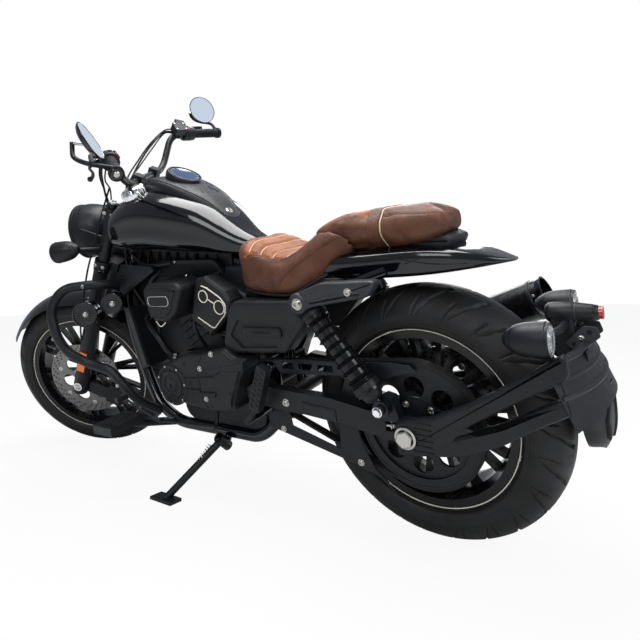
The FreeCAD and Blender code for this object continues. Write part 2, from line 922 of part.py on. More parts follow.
def turned_profile(shares, length, radius):
    """A solid turned about the x axis from a profile given as (along, radius) shares."""
    points = [V(along * length, across * radius, 0) for along, across in shares]
    wire = Part.Wire(Part.makePolygon(points + [points[0]]).Edges)
    return Part.Face(wire).revolve(V(0, 0, 0), V(1, 0, 0), FULL_TURN)


def lamp_place():
    """Puts the bowl, built along x, so that it looks straight ahead and level."""
    back = in_steering((lamp_x() - s.lamp_depth / 2, 0, s.lamp_z))
    face = in_steering((lamp_x() + s.lamp_depth / 2, 0, s.lamp_z))
    return Placement(back, Rotation(V(1, 0, 0), (face - back).normalize()))


def headlamp():
    """The bowl and the two ears by which it hangs on the fork tubes."""
    bowl = turned_profile(BOWL_SHARES, s.lamp_depth, s.lamp_radius)
    pocket = Part.makeCylinder(s.lamp_glass_radius, s.lamp_rim + s.overrun,
                               V(s.lamp_depth - s.lamp_rim, 0, 0), V(1, 0, 0))
    bowl = placed(bowl.cut(pocket), lamp_place())
    glass = Part.makeCylinder(s.lamp_glass_radius - s.seat_gap, s.lamp_glass_depth,
                              V(s.lamp_depth - s.lamp_rim + s.seat_gap, 0, 0), V(1, 0, 0))
    hub = in_steering((lamp_x(), 0, s.lamp_z))
    offset = axle_offset()
    reach = hub.x + 2 * s.boss_radius - offset
    ears = []
    for side in (1, -1):
        y = side * (s.fork_half - s.clamp_wall / 2)
        ears.append(box((offset + reach / 2, y, hub.z), (reach, s.clamp_wall, s.lamp_ear_height)))
        ears.append(bar((hub.x, side * (s.fork_half - s.clamp_wall / 2), hub.z),
                        (hub.x, side * (s.lamp_radius - 2 * s.boss_radius), hub.z), s.boss_radius))
    whole = joined([bowl] + ears)
    for y in (s.fork_half, -s.fork_half):
        whole = whole.cut(bar((offset, y, s.lower_clamp_s), (offset, y, upper_clamp_low()),
                              s.fork_tube_radius + s.seat_gap))
    feature("headlamp", largest(whole), steered_frame())
    feature("headlamp_lens", placed(glass, lamp_place()), steered_frame())


BAR_KNEE_SHARE = 2.25


def handlebar_points():
    half = [
        (0, s.bar_clamp_y * BAR_KNEE_SHARE, s.bar_clamp_s),
        (s.bar_bend_a, s.bar_bend_y, s.bar_bend_s),
        (s.bar_end_a, s.bar_end_y, s.bar_end_s),
    ]
    return [V(a, -y, h) for a, y, h in reversed(half)] + [V(*point) for point in half]


BAR_BEND_SHARE = 0.3


def handlebar():
    shape = pipe(handlebar_points(), s.bar_radius, BAR_BEND_SHARE)
    feature("handlebar", shape, steered_frame())


def grip_way(side):
    end = V(s.bar_end_a, side * s.bar_end_y, s.bar_end_s)
    bend = V(s.bar_bend_a, side * s.bar_bend_y, s.bar_bend_s)
    return end, (bend - end).normalize()


WEIGHT_SHARE = 0.95


def grips():
    shapes = []
    for side in (1, -1):
        end, inward = grip_way(side)
        outer = end - inward * s.bar_weight_length
        grip = bar(end, end + inward * s.grip_length, s.grip_radius)
        weight = bar(outer, end, s.grip_radius * WEIGHT_SHARE)
        hole = bar(end - inward * s.seat_gap, end + inward * (s.grip_length + s.overrun),
                   s.bar_radius + s.seat_gap)
        shapes.append(joined([grip, weight]).cut(hole))
    feature("grips", Part.makeCompound(shapes), steered_frame())


# Where the lever leaves its perch, bends and ends, as (along the grip, ahead of it) shares of
# the switch housing's length and radius.
LEVER_SHARES = [(0.8, 1.0), (0.0, 2.4), (-2.7, 2.6)]
TANK_BOX_SHARES = (0.8, 1.4, 0.6)
BOX_TURN = 30


def hand_controls():
    shapes = []
    for side in (1, -1):
        end, inward = grip_way(side)
        start = end + inward * (s.grip_length + s.seat_gap)
        housing = bar(start, start + inward * s.switch_length, s.switch_radius)
        ahead = V(1, 0, 0)
        way = [start + inward * (s.switch_length * along) + ahead * (s.switch_radius * out)
               for along, out in LEVER_SHARES]
        parts = [housing, pipe(way, s.lever_radius)]
        if side < 0:
            size = [share * s.switch_length for share in TANK_BOX_SHARES]
            spot = way[0] + V(0, 0, s.switch_radius)
            parts.append(turned(box(spot, size), way[0], (0, 0, 1), BOX_TURN))
        hole = bar(start - inward * s.overrun, start + inward * (s.switch_length + s.overrun),
                   s.bar_radius + s.seat_gap)
        shapes.append(joined(parts).cut(hole))
    feature("hand_controls", Part.makeCompound(shapes), steered_frame())


MIRROR_LOOK_SHARES = (-1, -0.15, -0.1)
GLASS_SHARE = 0.92
RING_SHARE = 0.9
KNEE_SHARE = 0.4


def mirrors():
    """Round mirrors on bent arms that leave rings at the bar's ends."""
    arms = []
    glasses = []
    for side in (1, -1):
        centre = V(s.mirror_a, side * s.mirror_y, s.mirror_s)
        end, inward = grip_way(side)
        root = end - inward * (s.bar_weight_length + s.mirror_arm_radius)
        knee = V(centre.x + s.mirror_radius, root.y, root.z + s.mirror_radius * KNEE_SHARE)
        look, sideways, down = MIRROR_LOOK_SHARES
        back = V(look, side * sideways, down).normalize()
        shell = Part.makeCylinder(s.mirror_radius, s.mirror_depth, centre - back * s.mirror_depth, back)
        arm = pipe([root, knee, centre - back * (s.mirror_depth / 2)], s.mirror_arm_radius)
        ring = bar(root - inward * s.mirror_arm_radius, root + inward * (s.mirror_arm_radius - s.seat_gap),
                   s.grip_radius * RING_SHARE)
        weight = bar(root + inward * (s.mirror_arm_radius - s.seat_gap), end + inward * s.grip_length,
                     s.grip_radius + s.seat_gap)
        arms.append(joined([shell, arm, ring]).cut(weight))
        glasses.append(Part.makeCylinder(s.mirror_radius * GLASS_SHARE, s.mirror_glass_depth,
                                         centre + back * s.seat_gap, back))
    feature("mirrors", Part.makeCompound(arms), steered_frame())
    feature("mirror_glass", Part.makeCompound(glasses), steered_frame())


BULLET_SHARES = [
    (0, 0), (0.04, 0.3), (0.15, 0.58), (0.35, 0.85), (0.6, 0.97), (0.8, 1.0), (1.0, 1.0), (1.0, 0),
]
LENS_SHARE = 0.97


def bullet(centre, ahead):
    """A bullet signal: a rounded shell and the lens at its open end."""
    way = V(*ahead).normalize()
    length = s.signal_length
    shell = turned_profile(BULLET_SHARES, length, s.signal_radius)
    lens = Part.makeCylinder(s.signal_radius * LENS_SHARE, s.signal_lens_depth,
                             V(length + s.seat_gap, 0, 0), V(1, 0, 0))
    spin = Placement(V(*centre) - way * (length / 2), Rotation(V(1, 0, 0), way))
    return placed(shell, spin), placed(lens, spin)


def front_signals():
    rake = math.radians(s.rake_angle)
    ahead = (math.cos(rake), 0, -math.sin(rake))
    shells = []
    lenses = []
    for side in (1, -1):
        centre = V(s.front_signal_a, side * s.front_signal_y, s.front_signal_s)
        shell, lens = bullet(centre, ahead)
        root = V(axle_offset(), side * s.fork_half, s.front_signal_s)
        stalk = bar(root, centre, s.signal_stalk_radius)
        tube = bar((root.x, root.y, s.lower_clamp_s), (root.x, root.y, upper_clamp_low()),
                   s.fork_tube_radius + s.seat_gap)
        shells.append(joined([shell, largest(stalk.cut(tube))]))
        lenses.append(lens)
    feature("front_signals", Part.makeCompound(shells), steered_frame())
    feature("front_signal_lenses", Part.makeCompound(lenses), steered_frame())


FENDER_CROWN_SHARE = 1.3


def front_fender():
    """A curved sheet over the front tyre, in the wheel's own frame, with a lug beside each leg."""
    inner = s.front_tyre_radius + s.fender_gap
    crown = s.fender_half * FENDER_CROWN_SHARE

    def profile(radius, side):
        low = V(0, -side, radius - crown + math.sqrt(crown ** 2 - side ** 2))
        top = V(0, 0, radius)
        high = V(0, side, low.z)
        return low, top, high

    out = profile(inner + s.fender_wall, s.fender_half)
    inn = profile(inner, s.fender_half - s.fender_wall)
    edges = [
        Part.Arc(*out).toShape(),
        Part.LineSegment(out[2], inn[2]).toShape(),
        Part.Arc(inn[2], inn[1], inn[0]).toShape(),
        Part.LineSegment(inn[0], out[0]).toShape(),
    ]
    sweep = s.fender_front_angle + s.fender_rear_angle
    band = Part.Face(Part.Wire(edges)).revolve(V(0, 0, 0), V(0, 1, 0), sweep)
    band.rotate(V(0, 0, 0), V(0, 1, 0), -s.fender_rear_angle)
    leg_face = s.fork_half - s.fork_leg_radius - s.seat_gap
    lug_half = s.fender_half - s.fender_wall
    lugs = []
    for side in (1, -1):
        lug_y = side * (leg_face + lug_half) / 2
        lug = box((0, lug_y, out[0].z), (s.fender_lug, leg_face - lug_half, s.fender_lug))
        lugs.append(turned(lug, (0, 0, 0), (0, 1, 0), -s.rake_angle))
    feature("front_fender", joined([band] + lugs), front_wheel_frame())


def caliper(radius, band, width):
    """A caliper over the rim of a disc that turns about the y axis, on the disc's x side."""
    low = radius - band - s.running_gap
    high = radius + s.caliper_bridge
    deep = radius + s.running_gap
    block = box(((low + high) / 2, 0, 0), (high - low, width, s.caliper_span))
    slot = box(((low + deep - s.overrun) / 2, 0, 0),
               (deep - low + s.overrun, s.disc_thickness + 2 * s.caliper_gap, s.caliper_span + s.overrun))
    return block.cut(slot)


def front_caliper():
    """The caliper behind the left leg, with the lug that seats on the leg."""
    centre = V(axle_offset(), s.front_disc_y, axle_height())
    block = caliper(s.front_disc_radius, s.front_disc_band, s.caliper_width)
    block.rotate(V(0, 0, 0), V(0, 1, 0), s.front_caliper_angle)
    block.translate(centre)
    spot = block.BoundBox.Center
    cheek = centre.y + (s.caliper_width - s.clamp_wall) / 2
    lug = box(((centre.x + spot.x) / 2, cheek, spot.z), (centre.x - spot.x, s.clamp_wall, s.fender_lug))
    leg_hole = s.fork_leg_radius + s.seat_gap
    leg = bar((centre.x, s.fork_half, 0), (centre.x, s.fork_half, 2 * centre.z), leg_hole)
    feature("front_caliper", largest(joined([block, lug]).cut(leg)), steered_frame())


REFLECTOR_SHARES = (1.0, 2.9)


def fork_reflectors():
    shapes = []
    wide, high = REFLECTOR_SHARES
    for side in (1, -1):
        face = side * (s.fork_half + s.fork_leg_radius + s.seat_gap)
        centre = (axle_offset(), face + side * s.reflector_depth / 2, axle_height() + s.reflector_rise)
        shapes.append(box(centre, (wide * s.fork_leg_radius, s.reflector_depth, high * s.fork_leg_radius)))
    feature("fork_reflectors", Part.makeCompound(shapes), steered_frame())


# Frame and engine

# Places on the frame: shares of its length from the pivot, of the engine's half width, of its height
BACKBONE_SHARES = [(0.609, 0, 1.134), (0.223, 0, 1.066), (0.1, 0, 0.978), (0.005, 0, 0.874),
                   (-0.026, 0, 0.714), (0, 0, 0.444)]
CRADLE_SHARES = [(0.998, 0.43, 1.0), (1.005, 0.75, 0.844), (0.962, 0.84, 0.594), (0.891, 0.91, 0.306),
                 (0.802, 1.0, 0.098), (0.66, 1.0, 0), (0.1, 1.0, 0), (0, 0.75, 0.118), (0, 0.75, 0.444)]
RAIL_SHARES = [(0, 0.17, 0.834), (-0.085, 0.91, 0.845), (-0.315, 1.27, 0.845), (-0.645, 1.11, 0.974)]
# Beside the steering head: shares of its radius, of its radius and of its length
NECK_SHARES = [(-0.4, 0.47, 0.2), (-2.07, 1.2, 0.075)]
BACKBONE_START_SHARE = 0.35
FRAME_BEND_SHARE = 0.4


def frame_places(shares, side=1):
    return [V(s.pivot_x + a * s.cradle_length, side * b * s.case_half, s.frame_floor_z + c * s.cradle_height)
            for a, b, c in shares]


def on_head(along, across, up):
    """A place beside the steering head, from its axis and its lower end."""
    return steering_frame().multVec(V(along * s.head_radius, across * s.head_radius,
                                      head_low() + up * s.head_length))


def frame_tubes(extra):
    """All tubes of the frame, each as much thicker than it is as extra says."""
    shapes = [bar(on_head(0, 0, 0), on_head(0, 0, 1), s.head_radius + extra)]
    backbone = [on_head(0, 0, BACKBONE_START_SHARE)] + frame_places(BACKBONE_SHARES)
    shapes.append(pipe(backbone, s.backbone_radius + extra, FRAME_BEND_SHARE))
    for side in (1, -1):
        neck = [on_head(a, side * b, c) for a, b, c in NECK_SHARES]
        down = neck + frame_places(CRADLE_SHARES, side)
        shapes.append(pipe(down, s.frame_tube_radius + extra, FRAME_BEND_SHARE))
        shapes.append(pipe(frame_places(RAIL_SHARES, side), s.rail_radius + extra, FRAME_BEND_SHARE))
    rear = frame_places(CRADLE_SHARES)[-1]
    shapes.append(bar(rear, V(rear.x, -rear.y, rear.z), s.frame_tube_radius + extra))
    shapes.append(bar((s.peg_bar_x, -s.peg_bar_y, s.peg_bar_z), (s.peg_bar_x, s.peg_bar_y, s.peg_bar_z),
                      s.boss_radius + extra))
    return joined(shapes)


def stand_pivot():
    return V(s.stand_pivot_x, s.stand_pivot_y, s.stand_pivot_z)


def stand_sole(lean):
    """The middle of the stand's sole on the ground, on the upright machine."""
    ground = lean.multVec(V(s.stand_foot_x, s.stand_foot_y, 0))
    return lean.inverse().multVec(V(ground.x, ground.y, s.stand_foot_thickness / 2))


def stand_axis():
    """The stand turns about this direction, square to its leg and to the machine's length."""
    leg = stand_sole(standing()) - stand_pivot()
    return V(0, -leg.z, leg.y).normalize()


def stand_envelope(extra):
    """The round space about the stand's pivot that its eye takes, grown by extra."""
    way = stand_axis()
    reach = s.stand_eye / 2 + s.seat_gap
    return bar(stand_pivot() - way * reach, stand_pivot() + way * (reach + extra), s.stand_eye_radius + extra)


def stand_bracket():
    """The boss under the stand's eye, its pin and the arm that joins it to the cradle."""
    way = stand_axis()
    pivot = stand_pivot()
    seat = pivot - way * (s.stand_eye / 2 + s.seat_gap)
    root = seat - way * s.stand_boss_length
    outer = pivot + way * (s.stand_eye / 2 + s.seat_gap)
    tube = V(pivot.x, s.case_half, s.frame_floor_z)
    boss = bar(seat, root, s.stand_eye_radius)
    arm = bar(root + way * (s.stand_boss_length / 2), tube, s.boss_radius)
    pin = bar(root, outer + way * s.overrun, s.pin_radius)
    head = bar(outer, outer + way * s.overrun, s.boss_radius)
    return joined([joined([boss, arm]).cut(stand_envelope(s.caliper_gap)), pin, head])


def frame():
    """The welded frame with its bores for the steering stem and the swingarm's pin."""
    stem = bar(on_head(0, 0, -1), on_head(0, 0, 2), s.stem_radius + s.seat_gap)
    pin = bar((s.pivot_x, -s.arm_y, pivot_z()), (s.pivot_x, s.arm_y, pivot_z()), s.axle_radius + s.seat_gap)
    below = bar(on_head(0, 0, 0), on_head(0, 0, -1), s.head_radius + s.clamp_wall + s.running_gap)
    tubes = frame_tubes(0).cut(stand_envelope(s.caliper_gap))
    feature("frame", joined([tubes, stand_bracket()]).cut(stem).cut(pin).cut(below))


def case_z():
    """The height of the crankcase's middle, so that it rests on the cradle tubes."""
    return s.frame_floor_z + s.frame_tube_radius + s.seat_gap + s.case_height / 2


def case_x():
    return s.case_rear_x + s.case_length / 2


def belt_loop(extra, low, high):
    """The space inside the belt grown by extra, from one place to the other across the machine."""
    rear = V(0, low, s.rear_tyre_radius)
    front = V(s.drive_pulley_x, low, s.drive_pulley_z)
    big = s.pulley_radius + s.seat_gap + extra
    small = s.drive_pulley_radius + s.seat_gap + extra
    way = front - rear
    tilt = math.atan2(way.z, way.x)
    spread = math.acos((big - small) / way.Length)
    ups = []
    for sign in (1, -1):
        angle = tilt + sign * spread
        normal = V(math.cos(angle), 0, math.sin(angle))
        ups.append((rear + normal * big, front + normal * small))
    way.normalize()
    edges = [
        Part.LineSegment(ups[0][0], ups[0][1]).toShape(),
        Part.Arc(ups[0][1], front + way * small, ups[1][1]).toShape(),
        Part.LineSegment(ups[1][1], ups[1][0]).toShape(),
        Part.Arc(ups[1][0], rear - way * big, ups[0][0]).toShape(),
    ]
    return Part.Face(Part.Wire(edges)).extrude(V(0, high - low, 0))


def drive_belt():
    """The belt: one loop round the gearbox pulley and the rear pulley."""
    low = s.belt_y - s.belt_width / 2
    high = s.belt_y + s.belt_width / 2
    feature("drive_belt", belt_loop(s.belt_thickness, low, high).cut(belt_loop(0, low, high)))


CASE_BEND_SHARE = 0.2


def case_block():
    block = box((case_x(), 0, case_z()), (s.case_length, 2 * s.case_half, s.case_height))
    across = [edge for edge in block.Edges if abs(edge.tangentAt(edge.FirstParameter).y) > PARALLEL]
    return block.makeFillet(s.case_height * CASE_BEND_SHARE, across)


def crankcase():
    sprocket = bar((s.drive_pulley_x, s.case_half / 2, s.drive_pulley_z),
                   (s.drive_pulley_x, s.belt_y + s.belt_width / 2, s.drive_pulley_z), s.drive_pulley_radius)
    feature("crankcase", joined([case_block().cut(frame_tubes(s.seat_gap)), sprocket]))


CYLINDER_START_SHARE = 0.2
FIN_SHARES = [0.42, 0.56, 0.7, 0.84]


def in_cylinder(shape, lean):
    """Moves a shape built above the crank's axle to a cylinder's own lean."""
    shape = turned(shape, (0, 0, 0), (0, 1, 0), lean)
    shape.translate(V(s.crank_x, 0, s.crank_z))
    return shape


def cylinders():
    """Two barrels with cooling fins and a head each, seated on the crankcase."""
    shapes = []
    start = s.case_height * CYLINDER_START_SHARE
    top = start + s.cylinder_length
    barrel = box((0, 0, start + s.cylinder_length / 2),
                 (s.cylinder_depth - 2 * s.fin_depth, 2 * (s.cylinder_half - s.fin_depth), s.cylinder_length))
    fin_size = (s.cylinder_depth, 2 * s.cylinder_half, s.fin_width)
    fins = [box((0, 0, start + s.cylinder_length * share), fin_size) for share in FIN_SHARES]
    head = box((0, 0, top + s.head_height / 2), (s.head_depth, 2 * s.head_half, s.head_height))
    upper = [edge for edge in head.Edges if edge.BoundBox.ZMin > top + s.head_height - s.seat_gap]
    head = head.makeFillet(s.head_bend, upper)
    for lean in (s.cylinder_lean, -s.cylinder_lean):
        shapes.append(in_cylinder(joined([barrel, head] + fins), lean))
    feature("cylinders", joined(shapes).cut(case_block()))


LEFT_COVER_SHARES = [(0.51, 0.4), (-0.11, 0.6), (-0.3, 0.69), (-0.4, 0.58), (-0.55, 0.55), (-0.4, 0.03),
                     (-0.3, -0.16), (0.36, -0.22), (0.5, 0.05)]
COVER_PLATE_SHARE = 0.7
DOME_SHARE = 0.85


def engine_covers():
    """The primary cover with its clutch dome on the left and a plainer cover on the right."""
    start = s.case_half + s.seat_gap
    points = spots(LEFT_COVER_SHARES, (case_x(), case_z()), s.case_length, s.case_height, start)
    cover = rounded_plate(points, V(0, s.cover_thickness * COVER_PLATE_SHARE, 0), s.cover_bend)
    dome = Part.makeCone(s.clutch_radius, s.clutch_radius * DOME_SHARE, s.cover_thickness,
                         V(s.clutch_x, start, s.clutch_z), V(0, 1, 0))
    right = mirrored(joined([cover, dome]))
    belt = belt_loop(s.belt_thickness + s.running_gap, start - s.overrun,
                     s.belt_y + s.belt_width / 2 + s.running_gap)
    left = largest(joined([cover, dome]).cut(belt))
    feature("engine_covers", Part.makeCompound([left, right]))


HEAD_COVER_SHARES = [(-0.125, 0.957), (-0.306, 0.851), (-0.394, 0.652), (-0.106, 0), (0.488, 0.043),
                     (0.606, 0.857), (0.406, 1.0)]
HEAD_COVER_BEND_SHARE = 0.5


def head_cover():
    """The bevelled plate on the left of the rear cylinder's head."""
    face = s.head_half + s.seat_gap
    points = spots(HEAD_COVER_SHARES, (0, s.head_cover_low), s.head_cover_length, s.head_cover_height, face)
    plate = rounded_plate(points, V(0, s.head_cover_depth, 0), s.cover_bend * HEAD_COVER_BEND_SHARE)
    rim_edges = [edge for edge in plate.Edges if edge.BoundBox.YMin > face + s.head_cover_depth - s.seat_gap]
    plate = plate.makeChamfer(s.head_cover_bevel, rim_edges)
    feature("head_cover", in_cylinder(plate, -s.cylinder_lean))


INTAKE_SHARES = [(0.5, 0.5), (-0.5, 0.5), (-0.46, -0.1), (-0.16, -0.5), (0.16, -0.5), (0.46, -0.1)]
INTAKE_BEND_SHARE = 0.13


def intake_cover():
    """The rounded triangular cover that stands out from the front cylinder's head."""
    start = s.head_half + s.seat_gap
    points = [V(s.intake_x + s.intake_length * a, start, s.intake_z + s.intake_height * b)
              for a, b in INTAKE_SHARES]
    shape = rounded_plate(points, V(0, s.intake_y - start, 0), s.intake_length * INTAKE_BEND_SHARE)
    rim_edges = [edge for edge in shape.Edges if edge.BoundBox.YMin > s.intake_y - s.seat_gap]
    feature("intake_cover", shape.makeFillet(s.intake_bend, rim_edges))


SIDE_PLATE_SHARES = [(0.43, 0.39), (0.22, 0.4), (0.1, -0.54), (-0.02, -0.73), (0.16, -0.73), (0.33, -0.45)]


def radiator():
    """The core behind the downtubes and a side plate that reaches past each of them."""
    centre = V(s.radiator_x, 0, s.radiator_z)
    shapes = [turned(box(centre, (s.radiator_depth, s.radiator_width, s.radiator_height)), centre, (0, 1, 0),
                     s.radiator_tilt)]
    for side in (1, -1):
        points = spots(SIDE_PLATE_SHARES, (centre.x, centre.z), s.radiator_height, s.radiator_height,
                       side * s.radiator_width / 2)
        shapes.append(rounded_plate(points, V(0, -side * s.guard_sheet, 0), 0))
    feature("radiator", largest(joined(shapes).cut(frame_tubes(s.seat_gap))))


# The pipes' places: shares of the way forward from the muffler to the head, outward and up
FRONT_PIPE_SHARES = [(1.0, 0, 1.0), (1.03, 0.44, 0.83), (1.02, 0.6, 0.29), (0.89, 0.69, -0.25),
                     (0.53, 0.81, -0.4), (0.24, 0.96, -0.25), (0, 1.0, 0)]
REAR_PIPE_SHARES = [(0.53, 0, 0.96), (0.54, 0.47, 0.83), (0.6, 0.66, 0.29), (0.637, 0.77, -0.367)]
PIPE_BEND_SHARE = 0.42


def exhaust():
    """Two pipes that join ahead of one upswept muffler on the right."""
    front = V(s.muffler_front_x, -s.muffler_y, s.muffler_front_z)
    rear = V(s.muffler_rear_x, -s.muffler_y, s.muffler_rear_z)
    can = bar(front, rear, s.muffler_radius)
    way = (rear - front).normalize()
    bore = s.muffler_radius - s.muffler_wall
    mouth = bar(rear - way * s.muffler_mouth, rear + way * s.overrun, bore)
    relief = bar(rear - way * (s.muffler_mouth + s.muffler_relief), rear - way * s.muffler_mouth,
                 s.muffler_radius - s.muffler_wall / 2)
    taper = cone(front - way * s.muffler_radius, front, s.pipe_radius, s.muffler_radius)
    shapes = [can.cut(mouth).cut(relief), taper]
    port = V(s.crank_x + s.port_reach, -s.head_half - s.seat_gap, s.crank_z + s.port_height)
    for shares in (FRONT_PIPE_SHARES, REAR_PIPE_SHARES):
        places = [V(front.x + a * (port.x - front.x), port.y + b * (front.y - port.y),
                    front.z + c * (port.z - front.z)) for a, b, c in shares]
        shapes.append(pipe(places, s.pipe_radius, PIPE_BEND_SHARE))
    feature("exhaust", largest(joined(shapes).cut(shape_of("cylinders"))))


# Tank, seats and tail

STATION_POINTS = 12


def station(x, half, floor, top, power):
    """A closed cross-section: a soft rectangle across the machine."""
    points = []
    for index in range(STATION_POINTS):
        angle = 2 * math.pi * index / STATION_POINTS
        across = math.cos(angle)
        up = math.sin(angle)
        y = half * math.copysign(abs(across) ** power, across)
        z = (top + floor) / 2 + (top - floor) / 2 * math.copysign(abs(up) ** power, up)
        points.append((x, y, z))
    return closed_curve(points)


def lofted(rear, length, half, floor, height, shares, power):
    """A skin over cross-sections, each a share of the length, half width and height."""
    wires = [station(rear + along * length, wide * half, floor + low * height, floor + high * height, power)
             for along, wide, low, high in shares]
    return Part.makeLoft(wires, True, False)


TANK_SHARES = [
    (0, 0.30, 0.02, 0.28), (0.12, 0.46, 0.01, 0.44), (0.3, 0.70, 0.05, 0.66), (0.5, 0.89, 0.10, 0.86),
    (0.68, 0.98, 0.14, 0.96), (0.8, 1.0, 0.15, 0.94), (0.9, 0.99, 0.18, 0.84), (0.96, 0.95, 0.22, 0.74),
    (1.0, 0.84, 0.3, 0.6),
]
CONSOLE_SHARES = [
    (0, 0.25, 0.30, 0.42), (0.2, 0.55, 0.45, 0.66), (0.45, 0.85, 0.62, 0.90), (0.7, 1.0, 0.80, 1.06),
    (0.9, 0.92, 0.85, 1.12), (1.0, 0.75, 0.88, 1.08),
]
SEAT_SHARES = [
    (0, 0.62, 0.70, 0.98), (0.12, 0.72, 0.52, 1.0), (0.3, 0.9, 0.18, 0.90), (0.45, 1.0, 0.02, 0.66),
    (0.62, 0.98, 0, 0.56), (0.8, 0.86, 0, 0.72), (0.93, 0.72, 0.03, 0.86), (1.0, 0.62, 0.06, 0.84),
]
SEAT_FRONT_SHARES = [(0.993, -0.1), (0.859, 0.93), (1.2, 0.93), (1.2, -0.1)]
PILLION_SHARES = [
    (0, 0.66, 0.2, 0.8), (0.08, 0.82, 0.05, 0.95), (0.3, 0.98, 0, 1.0), (0.6, 1.0, 0, 1.0),
    (0.85, 0.92, 0.05, 0.9), (1.0, 0.8, 0.15, 0.75),
]
TAIL_SHARES = [
    (0, 0.12, 0.25, 0.32), (0.1, 0.5, 0.18, 0.55), (0.25, 0.8, 0.08, 0.86), (0.5, 0.95, 0, 0.98),
    (0.8, 1.0, 0.02, 0.96), (1.0, 0.95, 0.05, 0.8),
]
TANK_POWER = 0.6
SEAT_POWER = 0.55
CUSHION_POWER = 0.5
# The wedges that the turning fork needs: half angle in degrees, and radius as a share of the fork's half
TUBE_WEDGE = (107, 1.46)
PLATE_WEDGE = (123, 1.08)
RISER_WEDGE = (140, 0.85)


def steering_wedge(wedge, low, high):
    """The space that the fork sweeps about its axis, between two places along it."""
    half_angle, share = wedge
    sector = Part.makeCylinder(share * s.fork_half, high - low, V(0, 0, low), V(0, 0, 1), 2 * half_angle)
    return placed(turned(sector, (0, 0, 0), (0, 0, 1), -half_angle), steering_frame())


def fork_sweep():
    low = s.lower_clamp_s - s.running_gap
    top = upper_clamp_low() - s.running_gap
    high = top + s.clamp_thickness + 2 * s.running_gap
    boss = s.head_radius + s.clamp_wall + s.running_gap
    round_boss = placed(Part.makeCylinder(boss, high - top, V(0, 0, top)), steering_frame())
    return [steering_wedge(TUBE_WEDGE, low, high), steering_wedge(PLATE_WEDGE, top, high),
            steering_wedge(RISER_WEDGE, top, s.bar_clamp_s + s.clamp_thickness), round_boss]


def fuel_tank():
    shape = lofted(s.tank_rear_x, s.tank_length, s.tank_half, s.tank_floor_z, s.tank_height, TANK_SHARES,
                   TANK_POWER)
    for item in fork_sweep():
        shape = shape.cut(item)
    feature("fuel_tank", largest(shape.cut(frame_tubes(s.seat_gap))))


def instrument():
    tilt = math.radians(s.gauge_tilt)
    up = V(-math.sin(tilt), 0, math.cos(tilt))
    feature("instrument", Part.makeCylinder(s.gauge_radius, s.gauge_depth, V(s.gauge_x, 0, s.gauge_z), up))


def tank_console():
    shape = lofted(s.console_rear_x, s.console_length, s.console_half, s.tank_floor_z, s.tank_height,
                   CONSOLE_SHARES, TANK_POWER)
    feature("tank_console", largest(shape.cut(shape_of("fuel_tank")).cut(shape_of("instrument"))))


CAP_LEAN_SHARE = 0.45


def fuel_caps():
    shapes = []
    for side in (1, -1):
        axis = V(0, side * CAP_LEAN_SHARE, 1).normalize()
        base = V(s.cap_x, side * s.cap_y, s.cap_z)
        cap = Part.makeCylinder(s.cap_radius, s.cap_height, base, axis)
        shapes.append(cap.cut(shape_of("fuel_tank")))
    feature("fuel_caps", Part.makeCompound(shapes))


def seats():
    rider = lofted(s.seat_rear_x, s.seat_length, s.seat_half, s.seat_floor_z, s.seat_height, SEAT_SHARES,
                   SEAT_POWER)
    points = spots(SEAT_FRONT_SHARES, (s.seat_rear_x, s.seat_floor_z), s.seat_length, s.seat_height,
                   -s.seat_half)
    ahead = rounded_plate(points, V(0, 2 * s.seat_half, 0), 0)
    pillion = lofted(s.pillion_rear_x, s.pillion_length, s.pillion_half, s.pillion_floor_z,
                     s.pillion_height, PILLION_SHARES, CUSHION_POWER)
    rider = rider.cut(ahead).cut(shape_of("fuel_tank")).cut(pillion).cut(frame_tubes(s.seat_gap))
    feature("rider_seat", largest(rider))
    feature("pillion_seat", pillion)


def tail_cowl():
    shape = lofted(s.tail_rear_x, s.tail_length, s.tail_half, s.tail_floor_z, s.tail_height, TAIL_SHARES,
                   CUSHION_POWER)
    for name in ("rider_seat", "pillion_seat"):
        shape = shape.cut(shape_of(name))
    feature("tail_cowl", largest(shape.cut(frame_tubes(s.seat_gap))))


STRUT_SHARES = [(0.1, 0.45), (-0.1, 0.55), (-1.0, 0.5), (-0.9, 0.1), (-0.3, -0.25), (0, -0.55), (0.12, -0.2)]


def fender_struts():
    """Flat struts outside the shocks, bolted to the rails at both ends."""
    points = spots(STRUT_SHARES, (s.strut_x, s.strut_z), s.strut_length, s.strut_height, s.strut_y)
    plate = rounded_plate(points, V(0, s.strut_thickness, 0), 0)
    plate = turned(plate, (s.strut_x, 0, s.strut_z), (0, 1, 0), s.strut_tilt)
    plate = turned(plate, (s.strut_x, s.strut_y, s.strut_z), (0, 0, 1), -s.strut_turn)
    eye_start = shock_y() - s.shock_eye_width / 2 - s.seat_gap
    pin = bar((s.shock_top_x, eye_start, s.shock_top_z), (s.shock_top_x, s.strut_y + s.strut_thickness,
                                                          s.shock_top_z), s.pin_radius)
    spacer = bar((s.shock_top_x, s.case_half, s.shock_top_z), (s.shock_top_x, eye_start, s.shock_top_z),
                 s.shock_eye)
    back = (s.strut_x - s.strut_rear_x) * math.tan(math.radians(s.strut_turn))
    boss = bar((s.strut_rear_x, s.case_half, s.strut_rear_z),
               (s.strut_rear_x, s.strut_y - back + s.strut_thickness / 2, s.strut_rear_z), s.boss_radius)
    whole = joined([plate, pin, spacer, boss]).cut(frame_tubes(s.seat_gap)).cut(shape_of("tail_cowl"))
    feature("fender_struts", both_sides(largest(whole)))


# Rear suspension

